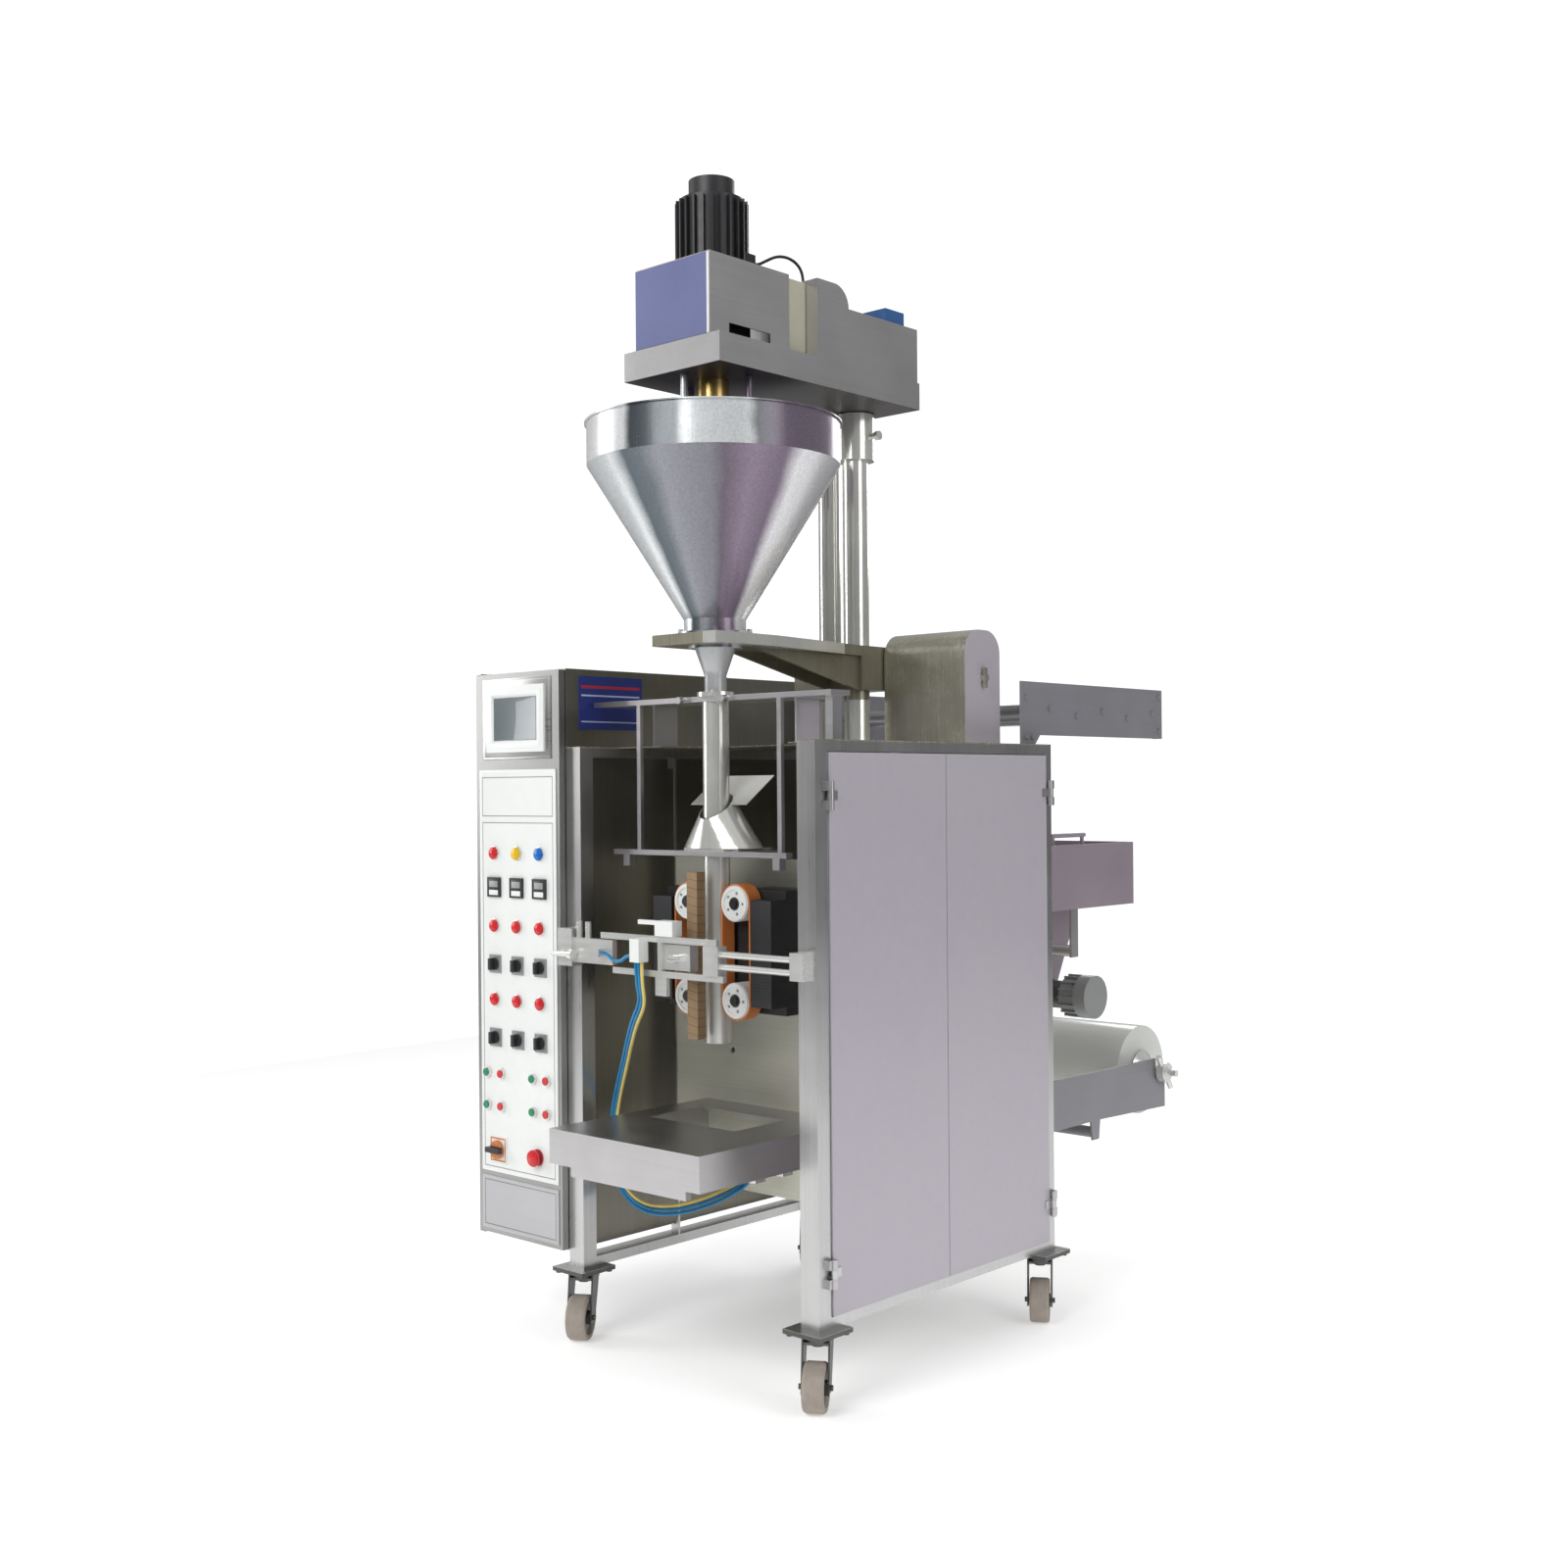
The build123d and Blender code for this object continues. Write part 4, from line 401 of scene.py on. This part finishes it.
def smallNodes():
    carrierZones = [
        ("white", ((-117, -500, 960.2), (-1, -420, 996))),
        ("white", ((-113, -490, 900), (-81, -457.2, 954))),
    ]
    dress("seal_carrier", finishOf("carrierMetal", "machined", carrierZones, "x"))
    rod = ("machined", ((-10, -500, 900), (10, -401.2, 930)))
    dress("seal_bar", finishOf("sealTape", "tape", [rod], "none", extra=tapeWrap, depth=0.0005))
    for jaw in ("front_jaw", "rear_jaw"):
        face = ("tape", ((-112, -362, 418), (112, -278, 482)))
        dress(jaw, finishOf(jaw + "Metal", "machined", [face], "x"))
    for side, sign in (("left", -1), ("right", 1)):
        low, high = sorted((sign * 29, sign * 119))
        band = ("orange", ((low, -339.2, 770), (high, -300.8, 1075)))
        belt = finishOf(side + "Belt", "black", [band], "none", extra=beltGrip, depth=0.0006)
        dress(side + "_belt_unit", belt)
        for level, height in (("lower", 815), ("upper", 1030)):
            hub = ("plated", lambda board, x=sign * 74.5, z=height: board.round(x, tubeY, z, "y") < 0.0145)
            name = side + "_" + level + "_pulley"
            dress(name, finishOf(name + "Metal", "white", [hub], "none", cloud=60))
    coreEdge, coreBore = 0.0445, 0.0379
    core = ("card", lambda board: (board.round(*rollAxis) < coreEdge) * (board.round(*rollAxis) > coreBore))
    shaft = ("machined", lambda board: board.round(*rollAxis) < coreBore)
    leftEnd = ("machined", ((-big, 900, 400), (-294.5, 1200, 640)))
    rightEnd = ("machined", ((294.5, 900, 400), (big, 1200, 640)))
    rollZones = [core, shaft, leftEnd, rightEnd]
    dress("film_roll", finishOf("woundFilm", "film", rollZones, "x", extra=endRings))
    for k in range(6):
        dress("selector_%d" % (k + 1), finishOf("selector%dBlack" % (k + 1), "black", (), "none", cloud=90))
    for k in range(8):
        tone = "red" if k % 2 else "green"
        dress("push_button_%d" % (k + 1), finishOf("button%dPlastic" % (k + 1), tone, (), "none", cloud=90))
    for corner in ("front_left", "front_right", "rear_left", "rear_right"):
        low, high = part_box(corner + "_caster_wheel")
        centre = (low + high) / 2
        mm = ((centre.x - originX) * 1000, (centre.y - originY) * 1000, centre.z * 1000)
        hub = ("plated", lambda board, mm=mm: hubMask(board, mm))
        tread = finishOf(corner + "Tread", "tread", [hub], "none", cloud=40, depth=0.0006)
        dress(corner + "_caster_wheel", tread)
        dress(corner + "_caster_fork", finishOf(corner + "Fork", "plated", (), "none", cloud=25))


def hubMask(board, mm):
    off = board.vector("SUBTRACT", board.place, at(*mm))
    far = board.node("ShaderNodeVectorMath", {"operation": "LENGTH"}, {0: off}, "Value")
    return far < 0.0395


steelNodes()
smallNodes()
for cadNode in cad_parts.values():
    smoothCad(cadNode)
print("CAD nodes dressed")


# Modelling helpers


def startBlock(name, low, high):
    # a box between two corners in mm, ready to be shaped
    a, b = at(*low), at(*high)
    bpy.ops.object.select_all(action="DESELECT")
    bpy.ops.mesh.primitive_cube_add(size=1, location=(a + b) / 2)
    piece = bpy.context.object
    piece.name = name
    piece.scale = b - a
    bpy.ops.object.transform_apply(location=True, rotation=True, scale=True)
    return piece


def startDisc(name, x, y, z, radius, deep, sides=40):
    # a short round bar that ends at y and stands forward of it, in mm
    bpy.ops.object.select_all(action="DESELECT")
    spot = at(x, y - deep / 2, z)
    bpy.ops.mesh.primitive_cylinder_add(
        vertices=sides, radius=radius / 1000, depth=deep / 1000, location=spot, rotation=(pi / 2, 0, 0))
    piece = bpy.context.object
    piece.name = name
    bpy.ops.object.transform_apply(location=True, rotation=True, scale=True)
    return piece


def pickFront(piece):
    # leaves edit mode on with only the foremost face picked
    bpy.ops.object.mode_set(mode="EDIT")
    bpy.ops.mesh.select_mode(type="FACE")
    bpy.ops.mesh.select_all(action="DESELECT")
    bpy.ops.object.mode_set(mode="OBJECT")
    front = min(face.center.y for face in piece.data.polygons)
    for face in piece.data.polygons:
        face.select = face.normal.y < -0.9 and face.center.y < front + 0.00005
    bpy.ops.object.mode_set(mode="EDIT")


def insetFront(piece, steps):
    # each step is how far in and how far back the front face goes, in mm
    pickFront(piece)
    for wide, back in steps:
        if wide:
            bpy.ops.mesh.inset(thickness=wide / 1000)
        if back:
            bpy.ops.mesh.extrude_region_move(TRANSFORM_OT_translate={"value": (0, back / 1000, 0)})
    bpy.ops.object.mode_set(mode="OBJECT")


def finishPiece(piece, material, body="cabinet_door", edge=0.4, smooth=True):
    if edge:
        bevel = piece.modifiers.new("edge", "BEVEL")
        bevel.width = edge / 1000
        bevel.segments = 2
        bevel.limit_method = "ANGLE"
        bevel.angle_limit = radians(35)
        bpy.ops.object.modifier_apply(modifier="edge")
    if smooth:
        bpy.ops.object.shade_smooth_by_angle(angle=radians(32))
    piece.data.materials.clear()
    piece.data.materials.append(material)
    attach(piece, body)


def copyPiece(piece, name, dx, dz, material):
    # a copy with its own mesh, moved across the panel by mm
    made = piece.copy()
    made.data = piece.data.copy()
    made.name = name
    bpy.context.scene.collection.objects.link(made)
    made.data.transform(Matrix.Translation((dx / 1000, 0, dz / 1000)))
    made.data.materials.clear()
    made.data.materials.append(material)
    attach(made, "cabinet_door")


# The operator panel

panel = {
    "x": -547.5,
    "front": -449.0,
    "doorFront": -447.0,
    "left": -690.0,
    "right": -404.0,
    "low": 355.0,
    "high": 1335.0,
    "footLow": 214.0,
    "footHigh": 343.0,
    "pitch": 85.0,
    "lampRows": (1133.0, 956.0, 777.0),
    "knobRows": (863.0, 684.0),
    "timerZ": 1050.0,
    "screenZ": 1457.5,
    "buttonRows": (597.0, 518.0),
    "buttonColumns": (-115.0, -62.0, 57.0, 108.0),
    "switch": (-78.0, 411.0),
    "stop": (70.0, 411.0),
}


def ruledBox(board, low, high, wide=2.4):
    # a thin printed frame
    outer = board.inside((low[0], -big, low[1]), (high[0], big, high[1]))
    inner = board.inside((low[0] + wide, -big, low[1] + wide), (high[0] - wide, big, high[1] - wide))
    return outer * (1 - inner)


def faceRules(board, colour, height):
    s = panel
    lines = ruledBox(board, (s["left"] + 10, 1222), (s["right"] - 10, 1318))
    lines = board.sum("MAXIMUM", lines, ruledBox(board, (s["left"] + 10, 366), (s["right"] - 10, 1208)))
    return board.colour(lines * 0.8, colour, (0.13, 0.14, 0.14, 1)), height


def footRules(board, colour, height):
    s = panel
    lines = ruledBox(board, (s["left"] + 9, s["footLow"] + 9), (s["right"] - 9, s["footHigh"] - 9))
    return board.colour(lines * 0.75, colour, (0.10, 0.10, 0.11, 1)), height


def buildFace():
    s = panel
    face = startBlock(
        "panelFace", (s["left"], s["front"], s["low"]), (s["right"], s["doorFront"], s["high"]))
    insetFront(face, [(4, 0), (0, -0.3), (2, 0.2)])
    finishPiece(face, finishOf("panelWhite", "white", (), "none", extra=faceRules))
    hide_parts("control_panel")
    foot = startBlock(
        "footPlate", (s["left"], s["front"], s["footLow"]), (s["right"], s["doorFront"], s["footHigh"]))
    insetFront(foot, [(3, 0), (0, -0.3), (2, 0.2)])
    finishPiece(foot, finishOf("footGrey", "footTone", (), "x", extra=footRules))


def screenSheen(board, colour, height):
    # the glass is painted lighter towards its top and right: a painted sheen
    x, y, z = board.axes(board.place)
    slope = (z - (panel["screenZ"] / 1000 - 0.05)) * 7.0 + (x - at(panel["x"], 0, 0).x) * 2.0
    return board.ramp(slope, [(0.0, (0.12, 0.15, 0.16, 1)), (1.0, (0.19, 0.22, 0.23, 1))]), height * 0.1


def buildScreen():
    s = panel
    x, z, door = s["x"], s["screenZ"], s["doorFront"]
    surround = startBlock("screenSurround", (x - 128, door - 1.6, z - 98), (x + 128, door, z + 98))
    insetFront(surround, [(6, 0), (0, -0.8)])
    finishPiece(surround, finishOf("surroundSteel", "post", (), "x"))
    bezel = startBlock("screenBezel", (x - 107.5, door - 8, z - 80.5), (x + 107.5, door - 1.7, z + 80.5))
    insetFront(bezel, [(8, 0), (0, -0.8), (14, 0), (0, 1.2), (3, 2.2)])
    finishPiece(bezel, finishOf("bezelWhite", "white", (), "none"), edge=0.7)
    screen = startBlock("screenGlass", (x - 80, door - 6.4, z - 52), (x + 80, door - 4.2, z + 52))
    insetFront(screen, [(1.5, 0), (0, 0.3)])
    # the screen's gradient is a painted sheen
    glass = finishOf("screenGrey", "gearGrey", (), "none", extra=screenSheen)
    glass.node_tree.nodes["Principled BSDF"].inputs["Coat Weight"].default_value = 0.7
    finishPiece(screen, glass, edge=0.2)


def buildLamps():
    s = panel
    x, z = s["x"], s["lampRows"][0]
    ring = startDisc("lampRing1", x, s["front"], z, 17.5, 3)
    insetFront(ring, [(1.5, 0), (0, -0.8), (1.0, 0.6)])
    finishPiece(ring, finishOf("lampRingMetal", "machined", (), "none"))
    dome = startDisc("lampDome1", x, s["front"] - 2.5, z, 15, 5)
    insetFront(dome, [(1.8, -2.0), (3.0, -1.2), (4.2, -0.5)])
    colours = ("red", "amber", "lampBlue")
    tones = {tone: finishOf("lamp" + tone, tone, (), "none", cloud=70) for tone in colours}
    order = [*colours] + ["red"] * 6
    finishPiece(dome, tones["amber"])
    number = 1
    places = [(column, row) for row in s["lampRows"] for column in (-1, 0, 1)]
    for tone, (column, row) in zip(order, places):
        dx, dz = column * s["pitch"], row - z
        if dx or dz:
            number += 1
            copyPiece(ring, "lampRing%d" % number, dx, dz, ring.data.materials[0])
            copyPiece(dome, "lampDome%d" % number, dx, dz, tones[tone])


def timerFinish(index, x):
    z = panel["timerZ"]
    light = ("white", ((x - 17, -big, z - 19), (x + 17, big, z - 7)))
    window = ("gearGrey", ((x - 16, -big, z), (x + 16, big, z + 15)))
    return finishOf("timerBlack%d" % index, "black", [light, window], "none", cloud=60)


def buildTimersAndPlates():
    s = panel
    front = s["front"]
    for column in (-1, 0, 1):
        x = s["x"] + column * s["pitch"]
        z = s["timerZ"]
        timer = startBlock("timer%d" % (column + 2), (x - 24, front - 6, z - 24), (x + 24, front, z + 24))
        insetFront(timer, [(3, 0), (0, 1.0), (1.2, 0), (0, -0.5)])
        finishPiece(timer, timerFinish(column + 2, x), edge=0.6)
    grey = finishOf("plateGrey", "gearGrey", (), "none", cloud=60)
    number = 0
    for row in s["knobRows"]:
        for column in (-1, 0, 1):
            number += 1
            x = s["x"] + column * s["pitch"]
            low, high = (x - 22, front - 3, row - 22), (x + 22, front, row + 22)
            plate = startBlock("knobPlate%d" % number, low, high)
            insetFront(plate, [(2, 0), (1, 0.3)])
            finishPiece(plate, grey, edge=0.6)


def buildRings():
    s = panel
    metal = finishOf("ringMetal", "machined", (), "none")
    number = 0
    for row in s["buttonRows"]:
        for column in s["buttonColumns"]:
            number += 1
            ring = startDisc("buttonRing%d" % number, s["x"] + column, s["front"], row, 12, 8, 32)
            insetFront(ring, [(2.95, 0), (0, 7.6)])
            finishPiece(ring, metal)
    stopX, stopZ = s["x"] + s["stop"][0], s["stop"][1]
    collar = startDisc("stopCollar", stopX, s["front"], stopZ, 20, 3)
    insetFront(collar, [(2, 0), (9.9, 0), (0, 2.6)])
    finishPiece(collar, finishOf("collarAmber", "redBand", (), "none"))
    x, z = s["x"] + s["switch"][0], s["switch"][1]
    plate = startBlock("switchPlate", (x - 32, s["front"] - 3, z - 32), (x + 32, s["front"], z + 32))
    insetFront(plate, [(2, 0), (1, 0.4)])
    edge = ("orange", lambda board: ruledBox(board, (x - 29, z - 29), (x + 29, z + 29), 4))
    finishPiece(plate, finishOf("switchPlateWhite", "white", [edge], "none"), edge=0.8)


def buildStop():
    s = panel
    x, z = s["x"] + s["stop"][0], s["stop"][1]
    back = s["front"] - 3 - 6.5
    stem = startDisc("stopStem", x, back + 32, z, 8, 34, 32)
    insetFront(stem, [(1, 0), (0, -0.5)])
    finishPiece(stem, finishOf("stemGrey", "gearGrey", (), "none"), "estop_button", edge=0)
    dome = startDisc("stopDome", x, back - 2, z, 20, 6, 64)
    insetFront(dome, [(1.6, -3.0), (3.5, -1.8), (5.5, -1.0)])
    red = finishOf("stopRed", "red", (), "none", cloud=50)
    finishPiece(dome, red, "estop_button", edge=0.8)
    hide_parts("estop_button")


def dressSwitch():
    x, z = panel["x"] + panel["switch"][0], panel["switch"][1]
    bar = ("black", ((x - 30, -big, z - 8), (x + 30, -457, z + 8)))
    dress("main_switch", finishOf("switchOrange", "orange", [bar], "none", cloud=60))


buildFace()
buildScreen()
buildLamps()
buildTimersAndPlates()
buildRings()
buildStop()
dressSwitch()
print("operator panel built")


# Hoses and the motor's cable. The points are those of the model's own routes, in mm.

hoses = {"radius": 4.0, "gap": 9.5, "y": -472.0, "start": -112.0, "bottom": 422.0}


def lineRoute(number):
    y = hoses["y"]
    x = hoses["start"] + 6
    way = [
        (x, y, 901, 1, 0), (x, y, 858, 1, 0), (x, y + 12, 812, 0.9, -0.4),
        (x - 46, y + 30, 768, 0.72, -0.69), (x - 92, y + 56, 715, 0.75, -0.66),
        (x - 140, y + 86, 660, 0.78, -0.62), (-286, y + 106, 605, 0.84, -0.54),
        (-318, y + 120, 548, 0.93, -0.36), (-332, y + 124, 492, 1, -0.1), (-334, y + 124, 428, 1, 0),
        (-318, y + 124, 370, 0.85, 0.5), (-282, y + 126, 322, 0.35, 0.95), (-226, y + 134, 298, 0, 1),
        (-160, y + 152, 300, -0.1, 1), (-100, y + 186, 316, -0.3, 1), (-46, y + 234, 346, -0.7, 0.75),
        (-6, y + 268, hoses["bottom"] - 40, -1, 0.1), (-6, y + 268, hoses["bottom"], -1, 0)]
    side = number * hoses["gap"]
    return [(px + kx * side, py, pz + kz * side) for px, py, pz, kx, kz in way]


def loopRoute():
    x, y = hoses["start"], hoses["y"]
    return [(x, y, 915), (x - 20, y, 915), (x - 42, y - 1, 899), (x - 68, y - 1, 899), (x - 92, y, 915),
            (x - 110, y, 915)]


def cableRoute():
    y, z = tubeY + 64, 2470
    return [(55, y, z), (55, y + 24, z), (57, y + 52, z + 16), (60, y + 86, z + 34), (63, y + 122, z + 38),
            (65, y + 154, z + 28), (66, y + 170, z + 5), (66, y + 170, z - 20)]


def layCord(name, points, radius, material, node):
    curve = bpy.data.curves.new(name, "CURVE")
    curve.dimensions = "3D"
    curve.bevel_depth = radius / 1000
    curve.bevel_resolution = 5
    curve.resolution_u = 10
    curve.use_fill_caps = True
    spline = curve.splines.new("NURBS")
    spline.points.add(len(points) - 1)
    for point, place in zip(spline.points, points):
        point.co = (*at(*place), 1)
    spline.order_u = 3
    spline.use_endpoint_u = True
    cord = bpy.data.objects.new(name, curve)
    bpy.context.scene.collection.objects.link(cord)
    curve.materials.append(material)
    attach(cord, "machine")
    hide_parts(node)
    at(*points[0])


blueHose = finishOf("hoseBluePlastic", "hoseBlue", (), "none", cloud=60)
yellowHose = finishOf("hoseYellowPlastic", "hoseYellow", (), "none", cloud=60)
cableSkin = finishOf("cableBlack", "black", (), "none", cloud=60)
layCord("blueHoseA", lineRoute(0), hoses["radius"], blueHose, "air_lines_blue")
layCord("blueHoseB", lineRoute(1), hoses["radius"], blueHose, "air_lines_blue")
layCord("blueHoseLoop", loopRoute(), hoses["radius"], blueHose, "air_lines_blue")
layCord("yellowHose", lineRoute(2), hoses["radius"], yellowHose, "air_line_yellow")
layCord("motorCable", cableRoute(), 3.5, cableSkin, "head_cable")
print("hoses and cable laid")


# Floor and light

stageSetup = {
    "floor": 9.0,
    "floorGlow": 0.42,
    "floorTone": (0.86, 0.86, 0.86, 1),
    "world": 0.56,
    "backdrop": (2, 2, 2, 1),
}


def addFloor(setup):
    bpy.ops.object.select_all(action="DESELECT")
    bpy.ops.mesh.primitive_plane_add(size=setup["floor"])
    floor = bpy.context.object
    floor.name = "floor"
    board = Board("floorPaint")
    tone = board.colour(board.noise(3) * 0.2, setup["floorTone"], (0.82, 0.82, 0.82, 1))
    # a little glow of its own keeps the far floor as pale as the backdrop
    paint = board.link(
        Base_Color=tone, Roughness=0.8, Emission_Color=tone, Emission_Strength=setup["floorGlow"])
    floor.data.materials.append(paint)


def addLight(name, place, aim, size, power):
    bpy.ops.object.light_add(type="AREA", location=place)
    light = bpy.context.object
    light.name = name
    light.data.shape = "RECTANGLE"
    light.data.size, light.data.size_y = size
    light.data.energy = power
    light.rotation_euler = (Vector(aim) - Vector(place)).to_track_quat("-Z", "Y").to_euler()


def addWorld(setup):
    world = bpy.data.worlds.new("studio")
    bpy.context.scene.world = world
    world.use_nodes = True
    tree = world.node_tree
    back = tree.nodes["Background"]
    back.inputs["Strength"].default_value = setup["world"]
    coord = tree.nodes.new("ShaderNodeTexCoord")
    split = tree.nodes.new("ShaderNodeSeparateXYZ")
    ramp = tree.nodes.new("ShaderNodeValToRGB")
    setStops(ramp.color_ramp, [(0.0, (0.25, 0.25, 0.26, 1)), (0.12, (0.42, 0.42, 0.43, 1)),
                               (0.45, (0.85, 0.85, 0.86, 1)), (1.0, (1, 1, 1, 1))])
    seen = tree.nodes.new("ShaderNodeLightPath")
    mix = tree.nodes.new("ShaderNodeMix")
    mix.data_type = "RGBA"
    tree.links.new(coord.outputs["Generated"], split.inputs[0])
    tree.links.new(split.outputs["Z"], ramp.inputs["Fac"])
    tree.links.new(seen.outputs["Is Camera Ray"], mix.inputs[0])
    tree.links.new(ramp.outputs["Color"], mix.inputs[6])
    mix.inputs[7].default_value = setup["backdrop"]
    tree.links.new(mix.outputs[2], back.inputs["Color"])


addFloor(stageSetup)
addWorld(stageSetup)
addLight("key", (0.5, -4.5, 3.6), (0, 0, 1.2), (2.4, 2.4), 105)
addLight("side", (4.6, -0.4, 2.6), (0, 0, 1.2), (2.0, 3.0), 45)
addLight("left", (-4.0, -2.5, 2.4), (0, 0, 1.4), (1.6, 3.0), 62)
addLight("back", (-1.0, 4.6, 3.4), (0, 0, 1.2), (3.0, 2.0), 90)
bpy.context.scene.view_settings.view_transform = "Standard"
print("stage lit")
